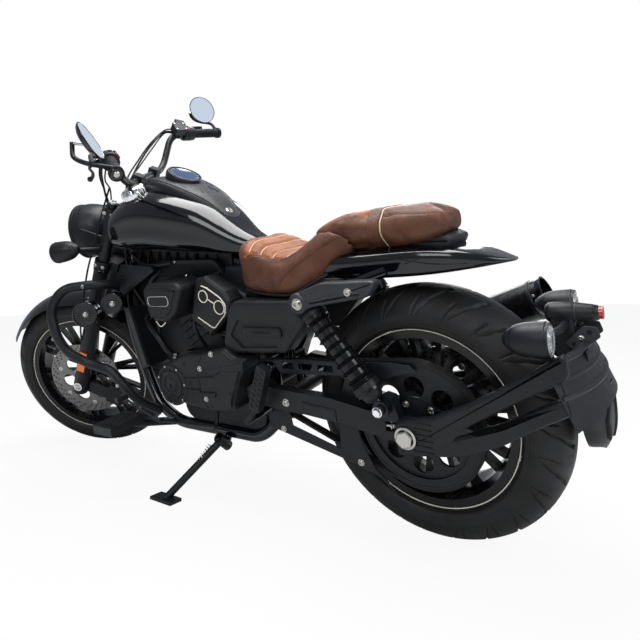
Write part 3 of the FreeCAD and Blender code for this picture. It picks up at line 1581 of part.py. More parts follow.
# Outlines from the rear axle: shares of the pivot's reach and of the arm's height
ARM_SHARES = [(1.07, 0.571), (1.07, 1.14), (1.0, 1.36), (0.774, 1.2), (0.457, 1.09), (0.187, 0.714),
              (0.044, 0.5), (-0.07, 0.446), (-0.07, -0.429), (0.044, -0.5), (0.202, -0.304),
              (0.477, 0.089), (0.758, 0.179), (1.0, 0.321)]
LUG_SHARES = [(0.187, 0.536), (0.165, 1.34), (0.123, 1.52), (0.077, 1.43), (0.044, 0.357)]


def shock_y():
    """Beside the arm, with a gap under the shock's eye."""
    return s.arm_y + s.arm_thickness / 2 + s.seat_gap + s.shock_eye_width / 2


def swingarm():
    """Both arms with their cross tube, pivot pin, wheel axle, nuts and the shocks' lower pins."""
    axle = (0, s.rear_tyre_radius)
    inner = s.arm_y - s.arm_thickness / 2
    outer = s.arm_y + s.arm_thickness / 2
    upright = s.case_half * CRADLE_SHARES[-1][1] + s.frame_tube_radius + s.seat_gap
    blade = V(0, s.arm_thickness, 0)
    arm = rounded_plate(spots(ARM_SHARES, axle, s.pivot_x, s.arm_height, inner), blade, s.arm_bend)
    lug = rounded_plate(spots(LUG_SHARES, axle, s.pivot_x, s.arm_height, inner), blade, 0)
    window = box((s.adjuster_x, s.arm_y, (s.rear_tyre_radius + s.adjuster_rise)),
                 (s.adjuster_length, 2 * s.arm_thickness, s.adjuster_height))
    boss = bar((s.pivot_x, inner, pivot_z()), (s.pivot_x, outer, pivot_z()), s.pivot_boss_radius)
    spacer = bar((s.pivot_x, upright, pivot_z()), (s.pivot_x, s.arm_y, pivot_z()), s.spacer_radius)
    pin_end = outer + s.pin_reach
    foot = V(s.shock_foot_x, 0, shock_foot_z())
    pin = bar(foot + V(0, s.arm_y, 0), foot + V(0, pin_end, 0), s.pin_radius)
    cap = bar((s.shock_foot_x, outer + s.shock_eye_width + 2 * s.seat_gap, shock_foot_z()),
              (s.shock_foot_x, pin_end, shock_foot_z()), s.boss_radius)
    nut = bar((0, s.rear_axle_half - s.axle_nut_thickness, axle[1]), (0, s.rear_axle_half, axle[1]),
              s.axle_nut_radius)
    half = joined([arm, lug, boss, spacer, pin, cap, nut]).cut(window)
    cross_z = pivot_z() - s.arm_cross_drop
    cross = bar((s.arm_cross_x, -s.arm_y, cross_z), (s.arm_cross_x, s.arm_y, cross_z), s.arm_cross_radius)
    shaft = bar((0, -s.rear_axle_half, axle[1]), (0, s.rear_axle_half, axle[1]), s.axle_radius)
    pivot = bar((s.pivot_x, -s.arm_y, pivot_z()), (s.pivot_x, s.arm_y, pivot_z()), s.axle_radius)
    feature("swingarm", joined([half, mirrored(half), cross, shaft, pivot]))


SPRING_START_SHARE = 0.16
SLEEVE_SHARE = 1.4


def rear_shocks():
    """Each shock: two eyes, a damper rod, spring seats and the turns of its spring."""
    y = shock_y()
    top = V(s.shock_top_x, y, s.shock_top_z)
    foot = V(s.shock_foot_x, y, shock_foot_z())
    length = (top - foot).Length
    way = (top - foot).normalize()
    reach = V(0, s.shock_eye_width / 2, 0)
    wire = way * s.spring_wire
    shapes = [bar(spot - reach, spot + reach, s.shock_eye) for spot in (top, foot)]
    shapes.append(bar(foot, top, s.damper_radius))
    low = foot + way * (length * SPRING_START_SHARE)
    high = top - way * (length * SPRING_START_SHARE)
    groove = s.spring_radius - s.spring_wire * SLEEVE_SHARE
    shapes.append(bar(low, high, groove))
    for seat in (low, high):
        shapes.append(bar(seat - wire, seat + wire, s.spring_radius))
    turns = int(s.spring_turns)
    for turn in range(turns):
        centre = low + (high - low) * ((turn + 1 / 2) / turns)
        shapes.append(cone(centre - wire, centre, groove, s.spring_radius))
        shapes.append(cone(centre, centre + wire, s.spring_radius, groove))
    whole = joined(shapes)
    for spot in (top, foot):
        whole = whole.cut(bar(spot - reach * 2, spot + reach * 2, s.pin_radius + s.seat_gap))
    feature("rear_shocks", both_sides(whole))


# Covers, guards and mudguard

# Shares of the side cover's length and height from its middle
COVER_SHARES = [(0.308, 0.5), (-0.381, 0.5), (-0.498, 0.125), (-0.237, -0.421), (0.458, -0.5), (0.5, -0.276),
                (0.388, 0.309)]
RECESS_SHARES = [(0.268, 0.158), (-0.405, 0.191), (-0.164, -0.316), (0.254, -0.362), (0.385, -0.132)]
PILL_SHARES = [(-0.227, -0.151), (0.251, -0.151), (0.251, 0.026), (-0.227, 0.026)]
PILL_BEND_SHARE = 0.4
COVER_BOSS_SHARE = (0.154, 0.02)


def side_covers():
    """Each cover has a sunken panel with a raised oval, and a boss that reaches the backbone."""
    centre = (s.side_cover_x, s.side_cover_z)
    length = s.side_cover_length
    height = s.side_cover_height
    outer = s.side_cover_y + s.side_cover_depth
    floor = outer - s.running_gap
    body = rounded_plate(spots(COVER_SHARES, centre, length, height, s.side_cover_y),
                         V(0, s.side_cover_depth, 0), s.cover_bend)
    rim_edges = [edge for edge in body.Edges if edge.BoundBox.YMin > outer - s.seat_gap]
    body = body.makeFillet(s.head_bend, rim_edges)
    recess_places = spots(RECESS_SHARES, centre, length, height, floor)
    recess = rounded_plate(recess_places, V(0, s.head_bend, 0), s.arm_bend)
    pill_height = (PILL_SHARES[2][1] - PILL_SHARES[1][1]) * height
    pill = rounded_plate(spots(PILL_SHARES, centre, length, height, floor), V(0, s.head_bend, 0),
                         pill_height * PILL_BEND_SHARE)
    boss = bar((centre[0] + COVER_BOSS_SHARE[0] * length, 0, centre[1] + COVER_BOSS_SHARE[1] * height),
               (centre[0] + COVER_BOSS_SHARE[0] * length, floor, centre[1] + COVER_BOSS_SHARE[1] * height),
               s.boss_radius)
    whole = joined([body, boss]).cut(recess.cut(pill)).cut(frame_tubes(s.seat_gap))
    feature("side_covers", both_sides(largest(whole)))


# Shares of the cradle's length and height
NECK_COVER_SHARES = [(0.946, 1.1), (0.989, 0.994), (1.0, 0.93), (0.955, 0.882), (0.674, 1.04), (0.692, 1.07)]
NECK_BOSS_SHARE = (0.992, 1.005)


def neck_covers():
    corner = (s.pivot_x, s.frame_floor_z)
    points = spots(NECK_COVER_SHARES, corner, s.cradle_length, s.cradle_height, s.neck_cover_y)
    plate = rounded_plate(points, V(0, s.neck_cover_depth, 0), 0)
    x = corner[0] + NECK_BOSS_SHARE[0] * s.cradle_length
    z = corner[1] + NECK_BOSS_SHARE[1] * s.cradle_height
    tube = s.case_half * CRADLE_SHARES[1][1]
    boss = bar((x, tube, z), (x, s.neck_cover_y + s.neck_cover_depth, z), s.boss_radius)
    guard = pipe(frame_places(GUARD_SHARES), s.guard_tube_radius + s.seat_gap, GUARD_BEND_SHARE)
    whole = joined([plate, boss]).cut(frame_tubes(s.seat_gap)).cut(guard)
    for item in fork_sweep():
        whole = whole.cut(item)
    feature("neck_covers", both_sides(largest(whole)))


# Shares of the pivot's reach and of the pulley's radius, from the rear axle
UPPER_GUARD_SHARES = [(0.903, 0.914), (0.673, 0.961), (0.398, 0.967), (0.09, 1.01), (-0.011, 0.987),
                      (-0.044, 0.888), (0.088, 0.789), (0.262, 0.533), (0.319, 0.243), (0.446, 0.28),
                      (0.389, 0.664), (0.411, 0.724), (0.84, 0.664)]
LOWER_GUARD_SHARES = [(0.919, 0.2), (0.996, -0.375), (0.938, -0.408), (0.42, -0.763), (0.24, -0.934),
                      (0.134, -1.23), (0.202, -0.974), (0.264, -0.809), (0.327, -0.421), (0.36, 0.099),
                      (0.457, 0.099), (0.477, -0.566), (0.802, -0.289), (0.82, 0.2)]
# Windows of the upper rail: first and last share along it; all between the same two heights
UPPER_WINDOW_SHARES = [(0.46, 0.56), (0.6, 0.7), (0.74, 0.82)]
WINDOW_HEIGHT_SHARES = (0.77, 0.88)


def belt_guards():
    axle = (0, s.rear_tyre_radius)
    y = s.arm_y - s.arm_thickness / 2 - s.seat_gap - s.guard_sheet
    sheet_depth = V(0, s.guard_sheet, 0)
    upper = rounded_plate(spots(UPPER_GUARD_SHARES, axle, s.pivot_x, s.pulley_radius, y), sheet_depth, 0)
    low, high = WINDOW_HEIGHT_SHARES
    for first, last in UPPER_WINDOW_SHARES:
        corners = [(first, low), (last, low), (last, high), (first, high)]
        window = rounded_plate(spots(corners, axle, s.pivot_x, s.pulley_radius, y), sheet_depth, 0)
        upper = upper.cut(window)
    lower = rounded_plate(spots(LOWER_GUARD_SHARES, axle, s.pivot_x, s.pulley_radius, y), sheet_depth, 0)
    spacer = bar((s.pivot_x, 0, pivot_z()), (s.pivot_x, s.arm_y, pivot_z()), s.spacer_radius + s.seat_gap)
    cross_z = pivot_z() - s.arm_cross_drop
    cross_hole = s.arm_cross_radius + s.seat_gap
    cross = bar((s.arm_cross_x, 0, cross_z), (s.arm_cross_x, s.arm_y, cross_z), cross_hole)
    plates = [largest(plate.cut(spacer).cut(cross)) for plate in (upper, lower)]
    feature("belt_guards", Part.makeCompound(plates))


# Shares of the cradle's length, of the engine's half width and of the cradle's height
GUARD_SHARES = [(0.997, 0.852, 0.938), (1.01, 1.93, 0.994), (1.12, 2.98, 1.0), (1.17, 3.39, 0.874),
                (1.15, 3.41, 0.698), (1.14, 3.12, 0.564), (1.07, 2.61, 0.458), (0.934, 2.27, 0.398),
                (0.877, 2.16, 0.294), (0.838, 1.82, 0.174), (0.777, 1.14, 0.066)]
GUARD_BEND_SHARE = 0.45


def engine_guard():
    tube = pipe(frame_places(GUARD_SHARES), s.guard_tube_radius, GUARD_BEND_SHARE)
    feature("engine_guard", both_sides(largest(tube.cut(frame_tubes(s.seat_gap)))))


def tilt_about_axle(shape):
    return turned(shape, (0, 0, s.rear_tyre_radius), (0, 1, 0), s.mud_tilt)


def mud_start():
    """How far behind the axle the moulded rear mudguard begins, before it is tilted."""
    return s.mud_radius - s.mud_bend - s.mud_lap


def mud_inner():
    """The inner faces of the mudguard's arms lie just outside the swingarm."""
    return s.arm_y + s.arm_thickness / 2 + s.seat_gap


# Shares of the mudguard's radius from the axle: a forked arm
MUD_ARM_SHARES = [(0.069, 0.079), (-0.144, 0.124), (-0.376, 0.23), (-0.535, 0.322), (-0.85, 0.52),
                  (-0.86, 0.4), (-0.574, 0.235), (-0.361, 0.104), (-0.408, 0.059), (-0.589, 0.153),
                  (-0.88, 0.3), (-0.9, 0.23), (-0.582, 0.087), (-0.347, -0.012), (-0.119, -0.094),
                  (0.069, -0.119)]


def mudguard_arms():
    """A forked arm each side from the wheel's axle back to the moulded mudguard."""
    z = s.rear_tyre_radius
    points = spots(MUD_ARM_SHARES, (0, z), s.mud_radius, s.mud_radius, mud_inner())
    plate = rounded_plate(points, V(0, s.mud_arm_thickness, 0), 0)
    reach = mud_start() - s.seat_gap
    behind = box((-reach - s.mud_radius / 2, 0, z), (s.mud_radius, 2 * s.mud_radius, 2 * s.mud_radius))
    hole = bar((0, 0, z), (0, s.rear_axle_half, z), s.axle_radius + s.seat_gap)
    feature("mudguard_arms", both_sides(largest(plate.cut(tilt_about_axle(behind)).cut(hole))))


def mud_flap():
    """The tongue that follows the tyre, narrower at its top and at its tip."""
    half = s.flap_half
    near = s.flap_radius
    far = near + s.flap_wall
    section = Part.Face(polygon([V(near, -half, 0), V(near, half, 0), V(far, half, 0), V(far, -half, 0)]))
    band = section.revolve(V(0, 0, 0), V(0, 1, 0), -(s.flap_low_angle - s.flap_top_angle))
    band.rotate(V(0, 0, 0), V(0, 1, 0), -s.flap_top_angle)
    band.translate(V(0, 0, s.rear_tyre_radius))
    left = [(a * half, s.rear_tyre_radius + b * s.flap_radius) for a, b in FLAP_SHARES]
    ring = [V(0, y, z) for y, z in left] + [V(0, -y, z) for y, z in reversed(left)]
    stamp = rounded_plate(ring, V(-2 * s.flap_radius, 0, 0), 0)
    feature("mud_flap", band.common(stamp))


# Shares of the flap's half width and of its radius, from the axle
FLAP_SHARES = [(0.385, 0.772), (0.897, 0.701), (1.0, 0.582), (1.0, 0.026), (0.705, -0.106), (0.256, -0.172)]


def rear_mudguard():
    """The moulded band behind the tyre that joins the arms of both sides."""
    outer = mud_inner() + s.mud_arm_thickness
    start = mud_start()
    bend = s.mud_radius - s.mud_bend

    def u_face(inset, front):
        half = outer - inset
        first = V(-front, -half, 0)
        turn_in = V(-bend, -half, 0)
        turn_out = V(-bend, half, 0)
        last = V(-front, half, 0)
        edges = [Part.LineSegment(first, turn_in).toShape(),
                 Part.Arc(turn_in, V(inset - s.mud_radius, 0, 0), turn_out).toShape(),
                 Part.LineSegment(turn_out, last).toShape(),
                 Part.LineSegment(last, first).toShape()]
        return Part.Face(Part.Wire(edges))

    outside = u_face(0, start).extrude(V(0, 0, s.mud_height))
    inside = u_face(s.mud_wall, start - s.overrun).extrude(V(0, 0, s.mud_height + 2 * s.overrun))
    inside.translate(V(0, 0, -s.overrun))
    band = outside.cut(inside)
    band.translate(V(0, 0, s.rear_tyre_radius - s.mud_height / 2))
    feature("rear_mudguard", largest(tilt_about_axle(band).cut(shape_of("mud_flap"))))


# Shares of the signal's length, its distance to the side and its height
STALK_SHARES = [(-0.543, 0.587), (-0.141, 0.833)]


def rear_signals():
    shells = []
    lenses = []
    for side in (1, -1):
        centre = V(s.rear_signal_x, side * s.rear_signal_y, s.rear_signal_z)
        shell, lens = bullet(centre, (-1, 0, 0))
        way = [V(centre.x + a * s.signal_length, b * centre.y, centre.z) for a, b in STALK_SHARES]
        root = V(way[0].x, side * (s.stem_width / 2 + s.seat_gap), centre.z)
        stalk = pipe([root] + way, s.pin_radius)
        shells.append(joined([shell, stalk]))
        lenses.append(lens)
    feature("rear_signals", Part.makeCompound(shells))
    feature("rear_signal_lenses", Part.makeCompound(lenses))


LAMP_TAPER_SHARE = 0.65
LAMP_BLOCK_SHARE = 0.45
STEM_SHARES = (0.9, 1.7)
PLATE_SHARES = [(0, -1.4), (-0.95, -0.5), (-0.95, -0.4), (0, -1.25)]


def tail_lamp():
    """The lamp's barrel and block on a stem behind the tyre, with the bracket for a number plate."""
    rear = V(s.tail_lamp_x, 0, s.tail_lamp_z)
    front = rear + V(s.tail_lamp_length, 0, 0)
    neck = rear + (front - rear) * LAMP_BLOCK_SHARE
    barrel = cone(neck, rear, s.tail_lamp_radius, s.tail_lamp_radius * LAMP_TAPER_SHARE)
    block = box((neck + front) / 2, (front.x - neck.x, s.stem_width, 2 * s.tail_lamp_radius))
    depth, height = STEM_SHARES
    stem = box((neck.x, 0, rear.z - s.stem_depth * height / 2),
               (s.stem_depth * depth, s.stem_width, s.stem_depth * height))
    lens = bar(rear - V(s.seat_gap, 0, 0), rear - V(s.tail_lens_depth, 0, 0),
               s.tail_lamp_radius * LAMP_TAPER_SHARE)
    points = [V(neck.x + a * s.plate_length, -s.plate_width / 2, rear.z + b * s.plate_length)
              for a, b in PLATE_SHARES]
    plate = rounded_plate(points, V(0, s.plate_width, 0), 0)
    body = joined([barrel, block, stem, plate])
    for name in ("rear_mudguard", "mud_flap", "rear_signals"):
        body = body.cut(shape_of(name))
    feature("tail_lamp", largest(body))
    feature("tail_lens", lens)


# Small pieces on the chassis

HORN_LOOK = (-0.6, 0.8, 0)


def horns():
    """Two round horns, each on a stalk from the left downtube."""
    tube = frame_places(CRADLE_SHARES)[1]
    way = V(*HORN_LOOK)
    shapes = []
    for centre, radius in ((V(s.horn_x, s.horn_y, s.horn_z), s.horn_radius),
                           (V(s.low_horn_x, s.low_horn_y, s.low_horn_z), s.low_horn_radius)):
        body = Part.makeCylinder(radius, s.horn_depth, centre - way * (s.horn_depth / 2), way)
        stalk = bar(centre - way * (s.horn_depth / 2), tube, s.pin_radius)
        shapes.append(largest(joined([body, stalk]).cut(frame_tubes(s.seat_gap))))
    feature("horns", Part.makeCompound([shapes[0].cut(shapes[1]), shapes[1]]))


FOOT_ARM_SHARES = (-0.2, -0.8)


def foot_controls():
    """A pad each side on an arm that leaves the cradle."""
    shapes = []
    back, down = FOOT_ARM_SHARES
    for side in (1, -1):
        pad = box((s.peg_x, side * s.peg_y, s.peg_z), (s.peg_width, s.peg_length, s.peg_thickness))
        root = V(s.peg_x + back * s.peg_width, side * s.case_half, s.frame_floor_z)
        tip = V(s.peg_x, side * s.peg_y, s.peg_z)
        shapes.append(largest(joined([pad, bar(root, tip, s.peg_arm_radius)]).cut(frame_tubes(s.seat_gap))))
    feature("foot_controls", Part.makeCompound(shapes))


PEG_SHARES = (1.3, 1.0)


def passenger_pegs():
    """Each peg stands folded up on a link from the frame's cross tube."""
    thick, wide = PEG_SHARES
    pivot = V(s.rear_peg_x, s.rear_peg_y, s.rear_peg_z)
    peg = box(pivot + V(0, 0, s.rear_peg_height / 2),
              (s.peg_thickness * thick, s.peg_thickness * wide, s.rear_peg_height))
    peg = turned(peg, pivot, (0, 1, 0), -s.rear_peg_tilt)
    start = V(s.peg_bar_x, s.peg_bar_y + s.seat_gap, s.peg_bar_z)
    end = V(start.x, pivot.y, start.z)
    shapes = [peg, bar(start, end, s.boss_radius), bar(end, pivot, s.guard_tube_radius / 2)]
    feature("passenger_pegs", both_sides(joined(shapes)))


def rear_caliper():
    """The caliper over the rear disc, seated on the right arm's inner face."""
    centre = V(0, -s.rear_disc_y, s.rear_tyre_radius)
    block = caliper(s.rear_disc_radius, s.rear_disc_band, s.rear_caliper_width)
    block.rotate(V(0, 0, 0), V(0, 1, 0), -s.rear_caliper_angle)
    block.translate(centre)
    face = s.arm_y - s.arm_thickness / 2 - s.seat_gap
    spot = block.BoundBox.Center
    pad_y = -(face + s.rear_disc_y) / 2 - s.rear_caliper_width / 4
    pad_width = face - s.rear_disc_y - s.rear_caliper_width / 2
    pad = box((spot.x, pad_y, s.rear_tyre_radius + s.arm_height / 2), (s.stem_depth, pad_width, s.stem_width))
    feature("rear_caliper", largest(joined([block, pad])))


def side_stand(lean):
    """The leg with its sole flat on the ground and its eye on the frame's pin."""
    pivot = stand_pivot()
    way = stand_axis()
    back = lean.inverse()
    sole = stand_sole(lean)
    plate = box((0, 0, 0), (s.stand_foot_length, s.stand_foot_width, s.stand_foot_thickness))
    plate = placed(plate, Placement(sole, back.Rotation))
    leg = bar(pivot, sole, s.stand_leg_radius)
    reach = way * (s.stand_eye / 2)
    eye = bar(pivot - reach, pivot + reach, s.stand_eye_radius)
    bore = bar(pivot - way * s.stand_eye, pivot + way * s.stand_eye, s.pin_radius + s.seat_gap)
    under = box((0, 0, -s.stand_foot_length / 2), (s.stand_foot_length * 2,) * 2 + (s.stand_foot_length,))
    under = placed(under, Placement(sole, back.Rotation))
    under.translate(back.Rotation.multVec(V(0, 0, -s.stand_foot_thickness / 2)))
    feature("side_stand", joined([leg, plate, eye]).cut(bore).cut(under))


# The hoses' places: shares of the way from the hand controls to the headlamp, outward and up
def build():
    lean = standing()
    tyre("rear_tyre", "rear", rear_wheel_place())
    rim("rear_wheel", "rear", rear_wheel_place())
    brake_disc("rear_disc", "rear", "-", rear_wheel_place())
    pulley()
    tyre("front_tyre", "front", front_wheel_frame())
    rim("front_wheel", "front", front_wheel_frame())
    brake_disc("front_disc", "front", "", front_wheel_frame())
    for make in (fork_legs, fork_clamps, front_axle, headlamp, handlebar, grips, hand_controls, mirrors,
                 front_signals, front_fender, front_caliper, fork_reflectors, frame, crankcase, cylinders,
                 engine_covers, head_cover, intake_cover, radiator, exhaust, drive_belt, fuel_tank,
                 instrument, tank_console, fuel_caps, seats, tail_cowl, fender_struts, swingarm,
                 rear_shocks, side_covers, neck_covers, belt_guards, engine_guard, mudguard_arms, mud_flap,
                 rear_mudguard, rear_signals, tail_lamp, horns, foot_controls, passenger_pegs,
                 rear_caliper):
        make()
    side_stand(lean)
    return lean


def place_all(lean):
    """Stands every sub-part on the ground with the whole box centred on the origin."""
    doc.recompute()
    for item, place in sub_parts:
        item.Placement = lean.multiply(place)
    doc.recompute()
    whole = FreeCAD.BoundBox()
    for item, place in sub_parts:
        whole.add(item.Shape.optimalBoundingBox(False))
    shift = Placement(V(-whole.Center.x, -whole.Center.y, 0), Rotation())
    for item, place in sub_parts:
        item.Placement = shift.multiply(item.Placement)
    doc.recompute()
    return shift.multiply(lean)


def check_all():
    for item in doc.Objects:
        bad = [word for word in item.State if word in ("Invalid", "Error")]
        if bad:
            raise RuntimeError("%s is %s" % (item.Label, bad))
    for item, place in sub_parts:
        if item.Shape.isNull() or not item.Shape.isValid():
            raise RuntimeError("the shape of %s is not valid" % item.Label)


machine_place = place_all(build())
check_all()
os.makedirs("parts", exist_ok=True)
for item, place in sub_parts:
    item.Shape.exportStep(os.path.join("parts", item.Label + ".step"))
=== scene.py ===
import json
import math

import bmesh
import bpy
from mathutils import Matrix, Vector
from mathutils.bvhtree import BVHTree


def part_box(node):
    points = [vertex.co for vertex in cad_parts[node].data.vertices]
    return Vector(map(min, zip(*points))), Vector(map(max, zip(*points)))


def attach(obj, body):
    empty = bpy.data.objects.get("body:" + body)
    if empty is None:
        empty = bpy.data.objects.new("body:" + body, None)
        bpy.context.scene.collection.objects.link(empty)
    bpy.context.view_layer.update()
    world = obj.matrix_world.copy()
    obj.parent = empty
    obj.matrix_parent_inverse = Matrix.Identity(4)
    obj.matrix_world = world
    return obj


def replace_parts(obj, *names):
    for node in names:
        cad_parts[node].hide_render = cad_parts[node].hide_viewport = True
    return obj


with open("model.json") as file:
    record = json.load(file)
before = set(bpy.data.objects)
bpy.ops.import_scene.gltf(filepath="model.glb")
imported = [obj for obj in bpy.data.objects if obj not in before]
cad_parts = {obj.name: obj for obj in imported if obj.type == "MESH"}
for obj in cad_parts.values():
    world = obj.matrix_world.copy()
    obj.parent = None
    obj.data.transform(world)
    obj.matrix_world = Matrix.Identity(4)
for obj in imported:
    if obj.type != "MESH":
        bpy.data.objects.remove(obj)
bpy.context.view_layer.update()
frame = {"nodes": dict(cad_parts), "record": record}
NODES = frame["nodes"]

# The machine's own frame: x forward from the rear axle, y left, z up from the ground

LEAN = math.radians(10.4)
PITCH = math.radians(0.3866)
RAKE = math.radians(30.2)
STEER = math.radians(27)
REAR_RADIUS = 0.320
WHEELBASE = 1.457
TRAIL = 0.128


def middle_of(node):
    low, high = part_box(node)
    return (low + high) / 2


MACHINE = (Matrix.Translation(middle_of("rear_tyre")) @ Matrix.Rotation(PITCH, 4, "Y")
           @ Matrix.Rotation(-LEAN, 4, "X") @ Matrix.Translation((0, 0, -REAR_RADIUS)))
STEERING = (MACHINE @ Matrix.Translation((WHEELBASE + TRAIL, 0, 0)) @ Matrix.Rotation(-RAKE, 4, "Y")
            @ Matrix.Rotation(STEER, 4, "Z"))


# Materials

def put(node, values):
    """Sets a node's inputs."""
    for key, value in values.items():
        node.inputs[key].default_value = value


class Paint:
    """A material under construction: its nodes, links and shader."""

    def __init__(self, name, colour, roughness, metallic=0.0, coat=0.0, specular=0.5):
        self.material = bpy.data.materials.new(name)
        self.material.use_nodes = True
        self.tree = self.material.node_tree
        self.shader = self.tree.nodes["Principled BSDF"]
        put(self.shader, {"Base Color": (*colour, 1), "Roughness": roughness, "Metallic": metallic,
                          "Coat Weight": coat, "Coat Roughness": 0.04, "Specular IOR Level": specular})
        self.colour = colour
        self.roughness = roughness
        self.coordinates = self.node("ShaderNodeTexCoord").outputs["Object"]
        self.last_bump = None

    def node(self, kind, values=None, **settings):
        made = self.tree.nodes.new(kind)
        for key, value in settings.items():
            setattr(made, key, value)
        put(made, values or {})
        return made

    def link(self, start, end):
        self.tree.links.new(start, end)

    def noise(self, scale, detail=4.0):
        made = self.node("ShaderNodeTexNoise", {"Scale": scale, "Detail": detail, "Roughness": 0.55})
        self.link(self.coordinates, made.inputs["Vector"])
        return made.outputs["Fac"]

    def cells(self, scale):
        made = self.node("ShaderNodeTexVoronoi", {"Scale": scale}, feature="F1")
        self.link(self.coordinates, made.inputs["Vector"])
        return made.outputs["Distance"]

    def vary_roughness(self, source, amount):
        made = self.node("ShaderNodeMapRange", {"From Min": 0.35, "From Max": 0.65,
                                                "To Min": self.roughness - amount, "To Max": self.roughness + amount})
        self.link(source, made.inputs["Value"])
        self.link(made.outputs["Result"], self.shader.inputs["Roughness"])

    def vary_colour(self, source, dark, light):
        ramp = self.node("ShaderNodeValToRGB")
        for end, position, share in zip(ramp.color_ramp.elements, (0.3, 0.7), (dark, light)):
            end.position = position
            end.color = (*[c * share for c in self.colour], 1)
        self.link(source, ramp.inputs["Fac"])
        self.link(ramp.outputs["Color"], self.shader.inputs["Base Color"])

    def bump(self, source, depth):
        """Adds relief, with its depth in metres."""
        made = self.node("ShaderNodeBump", {"Distance": depth, "Strength": 1.0})
        self.link(source, made.inputs["Height"])
        if self.last_bump:
            self.link(self.last_bump, made.inputs["Normal"])
        self.last_bump = made.outputs["Normal"]
        self.link(self.last_bump, self.shader.inputs["Normal"])


def rubber(name, colour, roughness=0.62):
    paint = Paint(name, colour, roughness, specular=0.3)
    paint.vary_colour(paint.noise(9), 0.75, 1.5)
    paint.vary_roughness(paint.noise(24), 0.08)
    paint.bump(paint.noise(900), 0.0002)
    return paint.material


def cast(name, colour, roughness, grain=700, depth=0.0003, metallic=0.0):
    paint = Paint(name, colour, roughness, metallic, specular=0.3)
    paint.vary_colour(paint.noise(14), 0.8, 1.25)
    paint.vary_roughness(paint.noise(60), 0.06)
    paint.bump(paint.noise(grain), depth)
    return paint.material


def lacquer(name, colour):
    paint = Paint(name, colour, 0.12, coat=0.4, specular=0.35)
    paint.vary_colour(paint.noise(7), 0.8, 1.3)
    paint.bump(paint.noise(34, 2.0), 0.00012)
    return paint.material


def plated(name, colour, roughness):
    paint = Paint(name, colour, roughness, metallic=1.0)
    paint.vary_roughness(paint.noise(40), roughness * 0.4)
    paint.bump(paint.noise(220), 0.00004)
    return paint.material


def clear(name, colour, roughness=0.05, transmission=0.9):
    paint = Paint(name, colour, roughness, coat=0.5)
    paint.shader.inputs["Transmission Weight"].default_value = transmission
    paint.bump(paint.noise(160), 0.0001)
    return paint.material


def leather(name, colour):
    paint = Paint(name, colour, 0.45, specular=0.28)
    paint.vary_colour(paint.noise(16), 0.62, 1.35)
    paint.vary_roughness(paint.noise(30), 0.1)
    paint.bump(paint.cells(420), 0.0006)
    paint.bump(paint.noise(120), 0.0008)
    return paint.material


FINISHES = {
    "tyre": rubber("tyre", (0.0075, 0.0075, 0.008), 0.55),
    "black_alloy": cast("black_alloy", (0.004, 0.004, 0.005), 0.25, 400, 0.0001),
    "gloss_black": lacquer("gloss_black", (0.0015, 0.0017, 0.0028)),
    "matte_black": cast("matte_black", (0.0055, 0.006, 0.0078), 0.4),
    "engine_black": cast("engine_black", (0.0075, 0.0078, 0.009), 0.45, 900, 0.0004),
    "disc_steel": plated("disc_steel", (0.2, 0.195, 0.19), 0.35),
    "black_plastic": cast("black_plastic", (0.009, 0.0098, 0.012), 0.42, 1400, 0.0003),
    "grey_plastic": cast("grey_plastic", (0.014, 0.015, 0.018), 0.4, 1400, 0.0003),
    "cast_grey": cast("cast_grey", (0.035, 0.037, 0.041), 0.42, 600, 0.0004, 0.3),
    "belt_rubber": rubber("belt_rubber", (0.006, 0.006, 0.006)),
    "grip_rubber": rubber("grip_rubber", (0.008, 0.008, 0.009), 0.6),
    "hose_rubber": rubber("hose_rubber", (0.005, 0.005, 0.006), 0.4),
    "chrome": plated("chrome", (0.82, 0.83, 0.85), 0.08),
    "seat_leather": leather("seat_leather", (0.1, 0.038, 0.021)),
    "gauge_glass": clear("gauge_glass", (0.03, 0.05, 0.11), 0.06, 0.0),
    "clear_lens": clear("clear_lens", (0.85, 0.88, 0.9), 0.08, 0.7),
    "red_lens": clear("red_lens", (0.5, 0.012, 0.01), 0.1, 0.3),
    "amber": clear("amber", (0.9, 0.2, 0.01), 0.2, 0.1),
    "mirror": plated("mirror", (0.9, 0.94, 1.0), 0.02),
    "shock_steel": cast("shock_steel", (0.005, 0.005, 0.006), 0.2, 300, 0.0001),
}

# Painted reflection: the mirror glass glows pale blue by itself, standing in for the sky it would reflect.
put(FINISHES["mirror"].node_tree.nodes["Principled BSDF"],
    {"Emission Color": (0.72, 0.84, 1, 1), "Emission Strength": 0.4})

FINISHES.update({
    "cream_paint": cast("cream_paint", (0.72, 0.68, 0.58), 0.4, 800, 0.0001),
    "cream_thread": rubber("cream_thread", (0.68, 0.5, 0.33), 0.7),
    "dark_thread": rubber("dark_thread", (0.055, 0.02, 0.012), 0.7),
    "seat_insert": leather("seat_insert", (0.25, 0.078, 0.027)),
    "bright_metal": plated("bright_metal", (0.5, 0.49, 0.46), 0.28),
    # The near-black finish below is painted shade: it stands in for the darkness inside holes, slots, grooves, recesses
    # and seam gaps, which are not cut.
    "painted_shade_black": cast("painted_shade_black", (0.003, 0.003, 0.004), 0.6),
    "red_plastic": lacquer("red_plastic", (0.5, 0.012, 0.01)),
    "pale_mark": cast("pale_mark", (0.3, 0.34, 0.4), 0.4),
})

for entry in frame["record"]["subparts"]:
    node = NODES[entry["node"]]
    node.data.materials.clear()
    node.data.materials.append(FINISHES[entry["material_slot"]])


# Forms in millimetres of the machine's, the steering's or a wheel's own frame

SIDES = (-1, 1)


def linked(name, data):
    """A new object in the scene."""
    piece = bpy.data.objects.new(name, data)
    bpy.context.scene.collection.objects.link(piece)
    return piece


